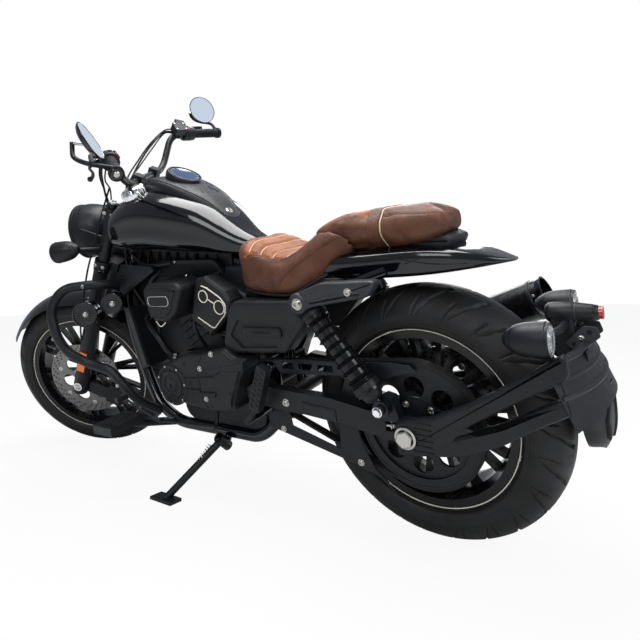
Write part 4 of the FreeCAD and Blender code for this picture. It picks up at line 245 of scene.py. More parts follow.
class Group:
    """Small forms gathered into one mesh."""

    def __init__(self, place=MACHINE, body="chassis"):
        self.bm = bmesh.new()
        self.body = body
        self.place = place @ Matrix.Scale(0.001, 4)

    def vert(self, spot):
        return self.bm.verts.new(self.place @ Vector(spot))

    def face(self, corners):
        unique = list(dict.fromkeys(corners))
        if len(unique) > 2:
            self.bm.faces.new(unique)

    def bridge(self, low, high, closed=True):
        count = max(len(low), len(high))
        for i in range(count if closed else count - 1):
            j = (i + 1) % count
            self.face([low[i % len(low)], low[j % len(low)], high[j % len(high)], high[i % len(high)]])

    def skin(self, rings, closed=True, capped=False):
        """Faces from each ring of corners to the next."""
        for low, high in zip(rings, rings[1:]):
            self.bridge(low, high, closed)
        if capped:
            self.face(rings[0])
            self.face(rings[-1])

    def lathe(self, base, aim, profile, steps=28):
        """A turned form: pairs of radius and height along the aim."""
        base, aim = Vector(base), Vector(aim).normalized()
        side = aim.orthogonal().normalized()
        up = aim.cross(side)
        rings = []
        for radius, height in profile:
            turns = [math.tau * i / steps for i in range(steps if radius else 1)]
            rings.append([self.vert(base + aim * height + (side * math.cos(t) + up * math.sin(t)) * radius)
                          for t in turns])
        self.skin(rings)

    def plate(self, outline, start, end, edge=0.0, spot=lambda u, v, w: (u, w, v)):
        """A flat form whose far face has a bevelled edge; spot turns its plane into places."""
        levels = [(0, start), (0, end - math.copysign(edge, end - start))] + ([(edge, end)] if edge else [])
        self.skin([[self.vert(spot(u, v, w)) for u, v in inset_outline(outline, inset)] for inset, w in levels],
                  capped=True)

    def soft(self, outline, start, end, bend, steps=5):
        """A flat form whose far edge is rounded over."""
        way = math.copysign(bend, end - start)
        levels = [(0, start)]
        for k in range(steps + 1):
            t = math.pi / 2 * k / steps
            levels.append((bend * (1 - math.cos(t)), end - way * (1 - math.sin(t))))
        levels.append((bend + 0.8, end))
        self.skin([[self.vert((u, w, v)) for u, v in inset_outline(outline, inset)] for inset, w in levels],
                  capped=True)

    def tube(self, spots, radius, steps=10, closed=False, per=6, flat=1.0):
        """A round cord along a smooth line; flat squeezes it."""
        line = smooth_line(spots, closed, per)
        rings = []
        side = None
        for i, spot in enumerate(line):
            after = line[(i + 1) % len(line)] if closed or i + 1 < len(line) else spot
            before = line[i - 1] if closed or i else spot
            aim = (after - before).normalized()
            side = (side - aim * side.dot(aim)).normalized() if side else aim.orthogonal().normalized()
            up = aim.cross(side)
            rings.append([self.vert(spot + side * math.cos(t) * radius + up * math.sin(t) * radius * flat)
                          for t in [math.tau * k / steps for k in range(steps)]])
        self.skin(rings, capped=not closed)
        if closed:
            turn = min(range(steps), key=lambda k: (rings[-1][0].co - rings[0][k].co).length)
            self.bridge(rings[-1], rings[0][turn:] + rings[0][:turn])

    def tubes(self, *runs):
        """Cords, each from its radius, its steps and its places."""
        for radius, steps, *spots in runs:
            self.tube(spots, radius, steps)

    def ring(self, outline, y, radius, steps=6):
        """A round cord along an upright outline."""
        self.tube([(u, y, v) for u, v in outline], radius, steps, closed=True, per=1)

    def bolt(self, base, aim, radius, height=None):
        """A cap bolt on a washer, with a sunken socket."""
        tall = height or radius * 0.8
        self.lathe(base, aim, [(radius * 1.35, -1), (radius * 1.35, 0.8), (radius, 1.0), (radius, tall * 0.8),
                               (radius * 0.86, tall), (radius * 0.5, tall), (radius * 0.42, tall * 0.5),
                               (0, tall * 0.5)], 18)

    def hexagon(self, base, aim, radius, height):
        """A hexagon head on a round flange."""
        self.lathe(base, aim, [(radius * 1.25, -1), (radius * 1.25, height * 0.2)], 24)
        self.lathe(base, aim, [(radius * 1.25, height * 0.2), (radius * 1.02, height * 0.3)], 24)
        self.lathe(base, aim, [(radius, height * 0.1), (radius, height * 0.86), (radius * 0.86, height),
                               (0, height)], 6)

    def done(self, name, finish, angle=32):
        """Shows the gathered forms, sharp where they turn by more than the angle."""
        bmesh.ops.remove_doubles(self.bm, verts=self.bm.verts, dist=1e-6)
        bmesh.ops.recalc_face_normals(self.bm, faces=self.bm.faces)
        limit = math.radians(angle)
        for edge in self.bm.edges:
            if len(edge.link_faces) != 2 or edge.calc_face_angle(0) > limit:
                edge.smooth = False
        for face in self.bm.faces:
            face.smooth = True
        mesh = bpy.data.meshes.new(name)
        self.bm.to_mesh(mesh)
        self.bm.free()
        return shown(name, mesh, finish, self.body)


def groups(count, place=MACHINE, body="chassis"):
    return [Group(place, body) for _ in range(count)]


def shown(name, mesh, finish, body):
    """Puts a mesh into the scene with its material, on its body."""
    piece = linked(name, mesh)
    mesh.materials.append(FINISHES[finish])
    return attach(piece, body)


def softened(node, width, finish):
    """A solid with its sharp edges rounded over, shown in the solid's place."""
    mesh = bpy.data.meshes.new(node + "_round")
    piece = linked(node + "_round", mesh)
    bm = bmesh.new()
    bm.from_mesh(NODES[node].data)
    bmesh.ops.remove_doubles(bm, verts=bm.verts, dist=1e-6)
    bmesh.ops.dissolve_limit(bm, angle_limit=math.radians(1), verts=bm.verts, edges=bm.edges)
    bm.to_mesh(mesh)
    bm.free()
    bevel = piece.modifiers.new("round", "BEVEL")
    bevel.width = width
    bevel.segments = 3
    bevel.limit_method = "ANGLE"
    bevel.angle_limit = math.radians(30)
    fix(piece)
    made = Group()
    made.bm.from_mesh(piece.data)
    bpy.data.objects.remove(piece)
    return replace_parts(made.done(node + "_soft", finish, 40), node)


def inset_outline(outline, inset):
    """The outline moved inwards by one distance all round."""
    if not inset:
        return outline
    following = outline[1:] + outline[:1]
    turn = math.copysign(inset, sum(a[0] * b[1] - b[0] * a[1] for a, b in zip(outline, following)))
    moved = []
    for (a, b), (u, v), (c, d) in zip(outline[-1:] + outline, outline, following):
        before, after = Vector((u - a, v - b)).normalized(), Vector((c - u, d - v)).normalized()
        share = max(0.35, (1 + before.dot(after)) / 2)
        moved.append((u - turn * (before.y + after.y) / 2 / share, v + turn * (before.x + after.x) / 2 / share))
    return moved


def spread(way, count):
    """Directions square to a way, evenly spread round it."""
    across = way.orthogonal().normalized()
    return [Matrix.Rotation(math.tau * k / count, 3, way) @ across for k in range(count)]


def smooth_line(spots, closed=False, per=6):
    """Places along a smooth line through the given ones."""
    given = [Vector(spot) for spot in spots]
    count = len(given)
    if count == 2:
        return given
    line = []
    for i in range(count if closed else count - 1):
        a, b, c, d = (given[k % count] if closed else given[min(max(k, 0), count - 1)]
                      for k in (i - 1, i, i + 1, i + 2))
        for step in range(per):
            t = step / per
            line.append(0.5 * (2 * b + (c - a) * t + (2 * a - 5 * b + 4 * c - d) * t * t
                               + (3 * b - a - 3 * c + d) * t ** 3))
    return line if closed else line + [given[-1]]


def bent(a, b, c, reach, shares, most):
    """Places round the corner b of a line from a to c, which leave it at most reach away."""
    a, b, c = Vector(a), Vector(b), Vector(c)
    start = b + (a - b).normalized() * min(reach, (a - b).length * most)
    end = b + (c - b).normalized() * min(reach, (c - b).length * most)
    return [tuple(start * (1 - t) ** 2 + b * 2 * t * (1 - t) + end * t * t) for t in shares]


def rounded(outline, reach, steps=4):
    """An outline with its corners rounded off."""
    return [spot for a, b, c in zip(outline[-1:] + outline, outline, outline[1:] + outline[:1])
            for spot in bent(a, b, c, reach, [k / steps for k in range(steps + 1)], 0.45)]


def oval(centre, radius, steps):
    return [tuple(Vector(centre) + Vector((radius * math.cos(t), radius * math.sin(t))))
            for t in [math.tau * i / steps for i in range(steps)]]


SURFACES = {}


def surface(name):
    if name not in SURFACES:
        piece = bpy.data.objects[name] if name in bpy.data.objects else NODES[name]
        bm = bmesh.new()
        bm.from_mesh(piece.data)
        SURFACES[name] = BVHTree.FromBMesh(bm)
        bm.free()
    return SURFACES[name]


def touch(name, start, aim, lift=0.0, place=MACHINE):
    """Where a ray from start, in millimetres, meets a piece, and the surface's direction there."""
    turn = place.to_3x3()
    spot, normal = surface(name).ray_cast(place @ (Vector(start) / 1000), (turn @ Vector(aim)).normalized())[:2]
    if spot is None:
        return None
    back = place.inverted()
    direction = (back.to_3x3() @ normal).normalized()
    if direction.dot(Vector(aim)) > 0:
        direction.negate()
    return (back @ spot) * 1000 + direction * lift, direction


def traced(name, starts, aim, lift=0.0, place=MACHINE):
    """A line laid on a piece's surface."""
    found = [touch(name, start, aim, lift, place) for start in starts]
    return [item[0] for item in found if item]


def beside(name, x, z, side=1):
    """Where a level ray from one side meets a piece."""
    return touch(name, (x, side * 600, z), (0, -side, 0))


def flank(name, path, side, lift=0.0):
    """A line laid on the side of a piece, from pairs of x and z."""
    return traced(name, [(x, side * 600, z) for x, z in path], (0, -side, 0), lift)


def lying(group, name, path, radius, side, lift, per=3):
    """A thin cord along such a line."""
    group.tube(flank(name, path, side, lift), radius, 6, per=per)


def set_head(head, name, x, z, radius, side=1):
    """A bolt's head, a group's bolt or hexagon, set on the side of a piece."""
    hit = beside(name, x, z, side)
    if hit:
        head(hit[0], (0, side, 0), radius, radius * 0.8)


# Wheels

REAR = MACHINE @ Matrix.Translation((0, 0, REAR_RADIUS))
FRONT = STEERING @ Matrix.Translation((0.0535, 0, 0.3468))


def tyre(name, place, section, blocks, crown, groove, body):
    """A tyre whose tread blocks are parted by real grooves."""
    half = smooth_line([(0, y, r) for y, r in section], per=5)
    across = [Vector((0, -p.y, p.z)) for p in reversed(half[1:])] + half
    travel = [0.0]
    for a, b in zip(half, half[1:]):
        travel.append(travel[-1] + (b - a).length)
    distances = [-d for d in reversed(travel[1:])] + travel
    per_block = 26
    around = blocks * per_block
    pitch = math.tau * section[0][1] / blocks

    def depth(turn, d):
        share = abs(d) / crown
        if share > 1.32 or share < 0.05:
            return 0.0
        phase = turn + (0.5 if d < 0 else 0.0)
        long_line = phase - 0.62 * share ** 1.4
        short_line = phase + 0.5 - 0.35 * share
        rib_line = phase + 0.25 - 0.9 * share
        cut = 0.0
        for line, first, last, width in ((long_line, 0.14, 1.26, 2.8), (short_line, 0.66, 1.3, 2.2),
                                         (rib_line, 0.2, 0.62, 1.9)):
            away = abs((line + 0.5) % 1.0 - 0.5) * pitch
            if first < share < last:
                fade = min(1.0, (share - first) * 9, (last - share) * 12)
                cut = max(cut, min(1.0, max(0.0, (width + 1.0 - away) / 1.6)) * fade)
        return cut * groove

    verts = []
    for i in range(around):
        angle = math.tau * i / around
        c, s = math.cos(angle), math.sin(angle)
        for p, d in zip(across, distances):
            r = p.z - depth(i / per_block, d)
            verts.append((r * s / 1000, p.y / 1000, r * c / 1000))
    rows = len(across)
    faces = []
    for i in range(around):
        j = (i + 1) % around
        for k in range(rows - 1):
            faces.append((i * rows + k, j * rows + k, j * rows + k + 1, i * rows + k + 1))
    mesh = bpy.data.meshes.new(name)
    mesh.from_pydata(verts, [], faces)
    mesh.transform(place)
    mesh.polygons.foreach_set("use_smooth", [True] * len(mesh.polygons))
    mesh.set_sharp_from_angle(angle=math.radians(32))
    mesh.update()
    return shown(name, mesh, "tyre", body)


REAR_SECTION = [(0, 320), (24, 317), (44, 310), (62, 299), (76, 285), (85, 270), (89, 256), (86.5, 241), (88, 240),
                (84, 229), (76, 224), (66, 222)]
FRONT_SECTION = [(0, 327), (18, 324.5), (34, 317.5), (46, 308), (56, 296), (62, 286), (65, 275), (62.5, 263),
                 (63.5, 262), (60, 251), (55, 246), (49, 243)]


def wheels():
    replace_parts(tyre("rear_tread", REAR, REAR_SECTION, 22, 92, 5.5, "rear_wheel"), "rear_tyre")
    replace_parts(tyre("front_tread", FRONT, FRONT_SECTION, 26, 66, 4.5, "front_wheel"), "front_tyre")
    for name, place, rim, half in (("rear", REAR, 218, 70), ("front", FRONT, 240, 52)):
        stripe, steps, valve = groups(3, place, name + "_wheel")
        for side in SIDES:
            stripe.lathe((0, side * (half - 1), 0), (0, side, 0),
                         [(rim + 3.4, 0), (rim + 3.4, 1.7), (rim + 1.2, 1.7), (rim + 1.2, 0)], 96)
            steps.lathe((0, side * (half - 3.5), 0), (0, side, 0),
                        [(rim - 12, -6), (rim - 10, 0.6), (rim - 7, 1.2), (rim - 5, -0.5), (rim - 6, -6)], 96)
        stripe.done(name + "_rim_stripe", "cream_paint")
        steps.done(name + "_rim_steps", "black_alloy")
        valve.lathe((0, -half * 0.4, rim - 34), (0, -0.3, 1), [(4, 0), (4, 9), (3, 9), (3, 26), (0, 26)], 14)
        valve.done(name + "_valve", "chrome")
    discs()
    pulley_details()


BAND = 34


def on_wheel(share, radius, y):
    """A place on a wheel at a share of its turn."""
    return radius * math.sin(math.tau * share), y, radius * math.cos(math.tau * share)


def discs():
    for name, place, radius, y in (("front", FRONT, 150, 70), ("rear", REAR, 130, -96)):
        holes, rivets, hub = groups(3, place, name + "_wheel")
        faces = {face: touch(name + "_disc", (0, y + face * 60, radius - BAND / 2), (0, -face, 0), 0, place)[0].y
                 for face in SIDES}
        # Painted shade: near-black discs on each face stand in for the drilled holes, which are not cut.
        for i in range(30):
            for row in range(3):
                for face in SIDES:
                    holes.lathe(on_wheel((i + 0.33 * row) / 30, radius - BAND * (0.24 + 0.26 * row),
                                         faces[face] - face * 0.2),
                                (0, face, 0), [(3.6, 0), (3.6, 0.5), (3.1, 0.6), (0, 0.6)], 12)
        holes.done(name + "_disc_holes", "painted_shade_black")
        for i in range(6):
            for face in SIDES:
                rivets.lathe(on_wheel((i + 0.5) / 6, radius - BAND - 6, faces[face] - face), (0, face, 0),
                             [(9, 0), (9, 2.4), (7.4, 3.2), (4, 3.2), (3.4, 2), (0, 2)], 20)
        rivets.done(name + "_disc_rivets", "bright_metal")
        side = 1 if y > 0 else -1
        for i in range(5):
            hit = touch(name + "_disc", on_wheel(i / 5, 48, y + side * 60), (0, -side, 0), 0, place)
            if hit:
                hub.bolt(hit[0], (0, side, 0), 5.5)
        hub.done(name + "_hub_bolts", "bright_metal")


def pulley_details():
    rims, bolts = groups(2, REAR, "rear_wheel")
    for radius, width in ((148, 2.2), (126, 1.6), (64, 1.6)):
        y = touch("belt_pulley", (radius * 0.7, 200, -radius * 0.714), (0, -1, 0), 0, REAR)[0].y
        rims.lathe((0, y - 1, 0), (0, 1, 0), [(radius - width, 0), (radius - width, 2), (radius, 2.2), (radius, 0)],
                   72)
    rims.done("pulley_rings", "matte_black")
    for i in range(5):
        spot, _ = touch("belt_pulley", on_wheel(i / 5 + 0.5 / math.tau, 54, 200), (0, -1, 0), 0, REAR)
        bolts.bolt(spot, (0, 1, 0), 7)
    bolts.done("pulley_bolts", "bright_metal")


# Seats

CUSHIONS = {"rider_seat": ("rider_cushion", 0.009), "pillion_seat": ("pillion_cushion", 0.01)}
CHANNELS = (440, 402, 362, 320, 276)
INSERT_FRONT, INSERT_REAR = 462, 200
ARCH = 7
CLOTH_FRAMES = 20


def eased(share):
    """A smooth step from 0 to 1."""
    share = min(1.0, max(0.0, share))
    return share * share * (3 - 2 * share)


def seat_line(name, spots, lift=0.0):
    """A line on the seat from pairs of x and y, found from above."""
    return traced(name, [(x, y, 1100) for x, y in spots], (0, 0, -1), lift)


def padded_seat(node):
    """The node's solid as foam under leather, blown up a little by a cloth simulation."""
    name, most = CUSHIONS[node]
    mesh = NODES[node].data.copy()
    mesh.name = name
    mesh.materials.clear()
    mesh.materials.append(FINISHES["seat_leather"])
    pad = linked(name, mesh)
    remesh = pad.modifiers.new("even", "REMESH")
    remesh.mode = "VOXEL"
    remesh.voxel_size = 0.006
    fix(pad)
    mesh = pad.data
    normals = [v.normal.copy() for v in mesh.vertices]
    for v, normal in zip(mesh.vertices, normals):
        v.co -= normal * 0.002
    relaxed(mesh, 3)
    start = [v.co.copy() for v in mesh.vertices]
    cloth = pad.modifiers.new("cloth", "CLOTH")
    cloth.settings.use_pressure = True
    cloth.settings.uniform_pressure_force = 4
    cloth.settings.effector_weights.gravity = 0
    cloth.settings.quality = 5
    cloth.point_cache.frame_start = 1
    cloth.point_cache.frame_end = CLOTH_FRAMES
    scene = bpy.context.scene
    for number in range(1, CLOTH_FRAMES + 1):
        scene.frame_set(number)
    fix(pad)
    scene.frame_set(1)
    mesh = pad.data
    for v, before in zip(mesh.vertices, start):
        moved = v.co - before
        if moved.length > most:
            v.co = before + moved.normalized() * most
    relaxed(mesh, 2)
    finer = pad.modifiers.new("finer", "SUBSURF")
    finer.levels = finer.render_levels = 1
    fix(pad)
    pad.data.polygons.foreach_set("use_smooth", [True] * len(pad.data.polygons))
    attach(pad, "chassis")
    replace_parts(pad, node)
    return pad


def fix(piece):
    """Writes the result of a piece's modifiers into its mesh."""
    graph = bpy.context.evaluated_depsgraph_get()
    made = bpy.data.meshes.new_from_object(piece.evaluated_get(graph), depsgraph=graph)
    old = piece.data
    piece.modifiers.clear()
    piece.data = made
    made.name = piece.name
    bpy.data.meshes.remove(old)


def relaxed(mesh, rounds):
    """Evens out a mesh."""
    bm = bmesh.new()
    bm.from_mesh(mesh)
    for _ in range(rounds):
        bmesh.ops.smooth_vert(bm, verts=bm.verts, factor=0.5, use_axis_x=True, use_axis_y=True, use_axis_z=True)
    bm.to_mesh(mesh)
    bm.free()


def insert_half(x):
    """Half of the width of the rider's ribbed insert at a place along the seat."""
    share = (INSERT_FRONT - x) / (INSERT_FRONT - INSERT_REAR)
    if share < 0 or share > 1:
        return 0.0
    return 124 - 16 * share - 52 * max(0.0, share - 0.5) / 0.5


def pressed(pad, valley, covered):
    """Presses sewn lines into a pad: valley gives the depth in millimetres, and covered tells the insert's faces."""
    back = MACHINE.inverted()
    turn = back.to_3x3()
    mesh = pad.data
    depths = [valley((back @ v.co) * 1000, (turn @ v.normal).z) for v in mesh.vertices]
    normals = [v.normal.copy() for v in mesh.vertices]
    for v, normal, depth in zip(mesh.vertices, normals, depths):
        if depth:
            v.co -= normal * (depth / 1000)
    mesh.materials.append(FINISHES["seat_insert"])
    for polygon in mesh.polygons:
        if covered((back @ polygon.center) * 1000, (turn @ polygon.normal).z):
            polygon.material_index = 1
    mesh.update()
    SURFACES.pop(pad.name, None)


def raised(pad):
    """Lifts the front of the rider's seat up to the tank."""
    back = MACHINE.inverted()
    for v in pad.data.vertices:
        spot = (back @ v.co) * 1000
        out = min(1.0, abs(spot.y) / 135) ** 2
        ahead = eased((spot.x - 300) / 130)
        high = eased((spot.z - 650) / 90)
        v.co = MACHINE @ ((spot + Vector((18 * ahead, 0, (20 + 14 * out) * ahead * high))) / 1000)
    pad.data.update()


def furrow(away, width, depth):
    """The depth of a sewn line beside its middle."""
    share = abs(away) / width
    return depth * (1 - share * share) ** 2 if share < 1 else 0.0


def rider_valley(spot, up):
    half = insert_half(spot.x)
    if up < 0.12 or not half:
        return 0.0
    cut = furrow(abs(spot.y) - half, 6, 2.6)
    if abs(spot.y) < half:
        arch = ARCH * (1 - (spot.y / half) ** 2)
        cut = max(cut, *[furrow(spot.x - channel - arch, 11, 3.6) for channel in CHANNELS])
    return cut


def pillion_seam(x):
    """Half of the width between the pillion seat's side seams."""
    return 84 - 10 * max(0.0, (x - 40) / 100) - 30 * max(0.0, (-40 - x) / 60) ** 2


def pillion_valley(spot, up):
    cut = furrow(spot.x - 76, 5, 1.8) + furrow(spot.x - 40, 5, 1.8)
    if up > 0 and spot.x < 38:
        cut += furrow(abs(spot.y) - pillion_seam(spot.x), 5, 1.6)
    return cut


def seats():
    rider, pillion = padded_seat("rider_seat"), padded_seat("pillion_seat")
    raised(rider)
    pressed(rider, rider_valley, lambda p, up: up > 0.12 and abs(p.y) < insert_half(p.x) and p.x < 458)
    pressed(pillion, pillion_valley, lambda p, up: up > 0.35 and p.x > 78 and abs(p.y) < 78)
    threads = Group()
    for channel in CHANNELS:
        half = insert_half(channel) - 2
        spots = [(channel + ARCH * (1 - (k / 12 - 1) ** 2), half * (k / 12 - 1)) for k in range(25)]
        stitched(threads, seat_line("rider_cushion", spots, 0.3), 1.25, 7.5, 1.2)
    threads.done("seat_thread", "cream_thread")
    seams = Group()
    for side in SIDES:
        edge = [(x, side * insert_half(x)) for x in range(456, 200, -8)]
        seams.tube(seat_line("rider_cushion", edge, -0.2), 1.2, 6, per=2)
        for shift in (6, 11):
            outer = [(x, side * (insert_half(x) + shift)) for x in range(448, 206, -8)]
            stitched(seams, seat_line("rider_cushion", outer, 0.1), 0.55, 4.2, 1.6)
    path = [(330, 668), (310, 690), (270, 716), (226, 742), (186, 764), (150, 780)]
    for side in SIDES:
        lying(seams, "rider_cushion", path, 1.1, side, 0.1, 6)
        line = flank("rider_cushion", [(x + 9, z) for x, z in path], side, 0.1)
        stitched(seams, smooth_line(line), 0.6, 4.2, 1.6)
    seams.done("seat_seams", "dark_thread")
    pillion_details()
    base = Group()
    path = [(486, 661), (440, 654), (392, 651), (340, 649), (300, 650), (262, 663), (214, 687), (172, 711), (130, 739),
            (98, 761)]
    for side in SIDES:
        base.tube([p + Vector((0, 0, -7)) for p in flank("rider_cushion", path, side)], 4.5, 8)
    base.done("seat_base_edge", "black_plastic")


def stitched(group, line, radius, length, space):
    """Short stitches along a line of close places."""
    marks = [0.0]
    for a, b in zip(line, line[1:]):
        marks.append(marks[-1] + (b - a).length)

    def at(d):
        for i in range(len(line) - 1):
            if marks[i + 1] >= d:
                share = (d - marks[i]) / max(1e-6, marks[i + 1] - marks[i])
                return line[i].lerp(line[i + 1], share)
        return line[-1]

    d = 0.0
    while d + length < marks[-1]:
        middle = at(d + length / 2) + Vector((0, 0, 0.35))
        group.tube([at(d), middle, at(d + length)], radius, 6, per=2)
        d += length + space


def over_pillion(x, count, spread, lift):
    """Places and directions across the pillion seat, from one side to the other."""
    found = []
    for k in range(count + 1):
        angle = math.pi * (k / count - 0.5) * spread
        out = Vector((0, math.sin(angle), math.cos(angle)))
        found.append(touch("pillion_cushion", Vector((x, 0, 770)) + out * 400, -out, lift))
    return found


def pillion_details():
    seams = Group()
    for side in SIDES:
        line = seat_line("pillion_cushion", [(x, side * pillion_seam(x)) for x in range(36, -92, -9)], -0.1)
        seams.tube(line, 1.0, 6, per=2)
        stitched(seams, [p + Vector((0, -side * 5, 0.2)) for p in line], 0.55, 4.2, 1.6)
    seams.done("pillion_seams", "dark_thread")
    strap = Group()
    section = ((-16, -1.5), (-15, 1.6), (15, 1.6), (16, -1.5))
    strap.skin([[strap.vert(spot + Vector((along, 0, 0)) + normal * rise) for along, rise in section]
                for spot, normal in over_pillion(58, 32, 1.3, 0.8)], closed=False)
    strap.done("pillion_strap", "seat_leather", 60)
    piping = Group()
    piping.tube([spot for spot, _ in over_pillion(38, 40, 1.28, 0.9)], 1.7, 8, per=2)
    piping.done("pillion_piping", "cream_thread")


# Tank, tail and rear end

def tank_details():
    back = MACHINE.inverted()
    for node, name, finish in (("fuel_tank", "tank_shell", "gloss_black"),
                               ("tank_console", "console_shell", "black_plastic")):
        shell = Group()
        shell.bm.from_mesh(NODES[node].data)
        for v in shell.bm.verts:
            spot = (back @ v.co) * 1000
            high = min(1.0, max(0.0, (spot.z - 748) / 60))
            v.co -= MACHINE.to_3x3() @ Vector((0, 0, 0.034 * high * eased((660 - spot.x) / 150)))
        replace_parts(shell.done(name, finish, 30), node)
    trim = Group()
    outline = [(552 + 350 * k / 40, 24 + 71 * math.sin(min(1.0, k / 30) * math.pi / 2)) for k in range(41)]
    outline += [(x, -half) for x, half in reversed(outline)]
    trim.tube(seat_line("console_shell", [(x, y * 0.9) for x, y in outline], 0.3), 1.5, 6, closed=True, per=1)
    trim.done("console_rim_line", "black_plastic")
    # Painted shade: the console's slots are near-black cords sunk into its top.
    slots = Group()
    for side in SIDES:
        path = [(700 - 4 * k, side * (18 + 2.2 * k)) for k in range(9)]
        slots.tube(seat_line("console_shell", path, -0.6), 2.4, 6, per=2, flat=0.6)
    slots.done("console_slots", "painted_shade_black")
    lock = Group()
    spot, aim = touch("console_shell", (596, 8, 1200), (0, 0, -1))
    lock.lathe(spot, aim, [(13, -2), (13, 1), (11.5, 3.2), (8, 3.8), (7.2, 2.6), (0, 2.6)], 24)
    lock.plate([(-9, -2), (-9, 2), (9, 2), (9, -2)], 0, 1.4, 0.4,
               lambda u, v, w: spot + Vector((u * 0.8, v, 0)) + aim * (3 + w))
    lock.done("console_lock", "bright_metal")
    gauge_details(MACHINE @ Matrix.Translation((0.792, 0, 1.008)) @ Matrix.Rotation(math.radians(-33), 4, "Y"))
    caps, bases = groups(2)
    for side in SIDES:
        aim = Vector((0, side * 0.5, 1)).normalized()
        base = Vector((890, side * 120, 968))
        caps.lathe(base, aim, [(37, 8), (39, 12), (39.4, 22), (37.4, 31), (31, 38.5), (18, 43.6), (0, 45)], 64)
        for out in spread(aim, 18):
            caps.tube([base + aim * high + out * wide for high, wide in ((12, 39), (22, 39.6), (32, 36.6), (38, 31.4))],
                      2.4, 6, per=3)
        bases.lathe(base, aim, [(42, -16), (43.5, 2), (43, 8), (39, 10.5), (36, 10.5)], 56)
    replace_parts(caps.done("cap_domes", "chrome"), "fuel_caps")
    bases.done("cap_bases", "black_plastic")
    seam = Group()
    for side in SIDES:
        lying(seam, "fuel_tank", [(1030, 826), (980, 806), (900, 797), (800, 786), (700, 775), (620, 768), (540, 757)],
              1.5, side, 0.2)
    seam.done("tank_seam", "gloss_black")


def gauge_details(place):
    up = (0, 0, 1)
    glass, bezel, marks = groups(3, place)
    glass.lathe((0, 0, 0), up, [(53, 0), (53.5, 22), (51, 24.6), (30, 25.6), (0, 25.9)], 72)
    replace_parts(glass.done("gauge_face", "gauge_glass"), "instrument")
    bezel.lathe((0, 0, 0), up, [(52, -30), (57, -10), (59.5, 6), (60.5, 14), (59.5, 22), (57, 26.4), (54, 26.6),
                                (52.6, 24.4)], 72)
    bezel.done("gauge_bezel", "black_plastic")
    marks.lathe((0, 0, 25.3), up, [(46, 0), (46, 0.4), (45.2, 0.4), (45.2, 0)], 72)
    for k in range(25):
        angle = math.radians(-150 + 240 * k / 24)
        out = Vector((math.cos(angle), math.sin(angle), 0))
        length = 3 if k % 4 else 6
        marks.tube([out * (44 - length) + Vector((0, 0, 25.5)), out * 44 + Vector((0, 0, 25.4))], 0.45, 4)
    marks.done("gauge_marks", "pale_mark")


def tail_details():
    # Painted shade: the cowl's seam lines are near-black cords standing in for the shade in the seam gaps.
    trim = Group()
    for side in SIDES:
        for path in ([(210, 700), (150, 716), (80, 722), (0, 716), (-80, 700), (-150, 694)],
                     [(60, 682), (-20, 706), (-90, 724)]):
            lying(trim, "tail_cowl", path, 1.4, side, 0.1)
    trim.done("tail_seams", "painted_shade_black")


def shock_details():
    caps, bright = groups(2)
    for side in SIDES:
        top, foot = Vector((236, side * 168, 632)), Vector((56, side * 168, 378))
        aim = (foot - top).normalized()
        length = (foot - top).length
        caps.lathe(top, aim, [(16, 26), (30, 30), (34, 36), (34, 44), (26, 46), (20, 46)], 32)
        caps.lathe(top, aim, [(20, length - 70), (34, length - 68), (35, length - 60), (35, length - 52),
                              (28, length - 48), (24, length - 30), (16, length - 22)], 32)
        for k in range(3):
            caps.lathe(top, aim, [(27 + k, length - 82 + 5 * k), (30 + k, length - 80 + 5 * k),
                                  (27 + k, length - 78 + 5 * k)], 24)
        bright.lathe(top, aim, [(10.6, 46), (10.6, length - 80)], 24)
        bright.hexagon((59, side * 189, 376), (0, side, 0), 10, 8)
    caps.done("shock_cups", "matte_black")
    bright.done("shock_rods", "chrome")


def arm_details():
    nuts = Group()
    for side in SIDES:
        nuts.hexagon((0, side * 181, 320), (0, side, 0), 20.5, 14)
    set_head(nuts.bolt, "swingarm", 352, 354, 8)
    nuts.done("axle_nuts", "bright_metal")
    y = beside("swingarm", 246, 350)[0].y
    plate, rim = groups(2)
    plate.plate(rounded([(302, 330), (302, 364), (196, 352), (196, 320)], 6), y - 1, y + 3, 1.4)
    plate.done("arm_plate", "black_plastic")
    rim.ring(rounded([(296, 335), (296, 359), (202, 347), (202, 325)], 5), y + 3.1, 0.9)
    rim.done("arm_plate_rim", "grey_plastic")
    adjuster = Group()
    for side in SIDES:
        adjuster.lathe((72, side * 150, 330), (-1, 0, 0), [(4.5, 0), (4.5, 42), (8, 42), (8, 48), (0, 48)], 12)
        adjuster.hexagon((44, side * 150, 330), (-1, 0, 0), 8, 7)
    adjuster.done("chain_adjusters", "bright_metal")
    fins = Group()
    for side in SIDES:
        for k in range(6):
            z = 356 - 13 * k
            y = beside("mudguard_arms", -42, z, side)[0].y
            fins.plate([(-20 + k, z - 2.2), (-20 + k, z + 2.2), (-62, z + 1.4), (-62, z - 1.4)], y - side,
                       y + 2.6 * side, 0.8)
    fins.done("arm_fins", "matte_black")


def guard_details():
    bolts = Group()
    for x, z, radius in ((306, 410, 7), (330, 470, 6), (398, 262, 6.5), (160, 208, 6.5)):
        set_head(bolts.bolt, "belt_guards", x, z, radius)
    bolts.done("guard_bolts", "bright_metal")


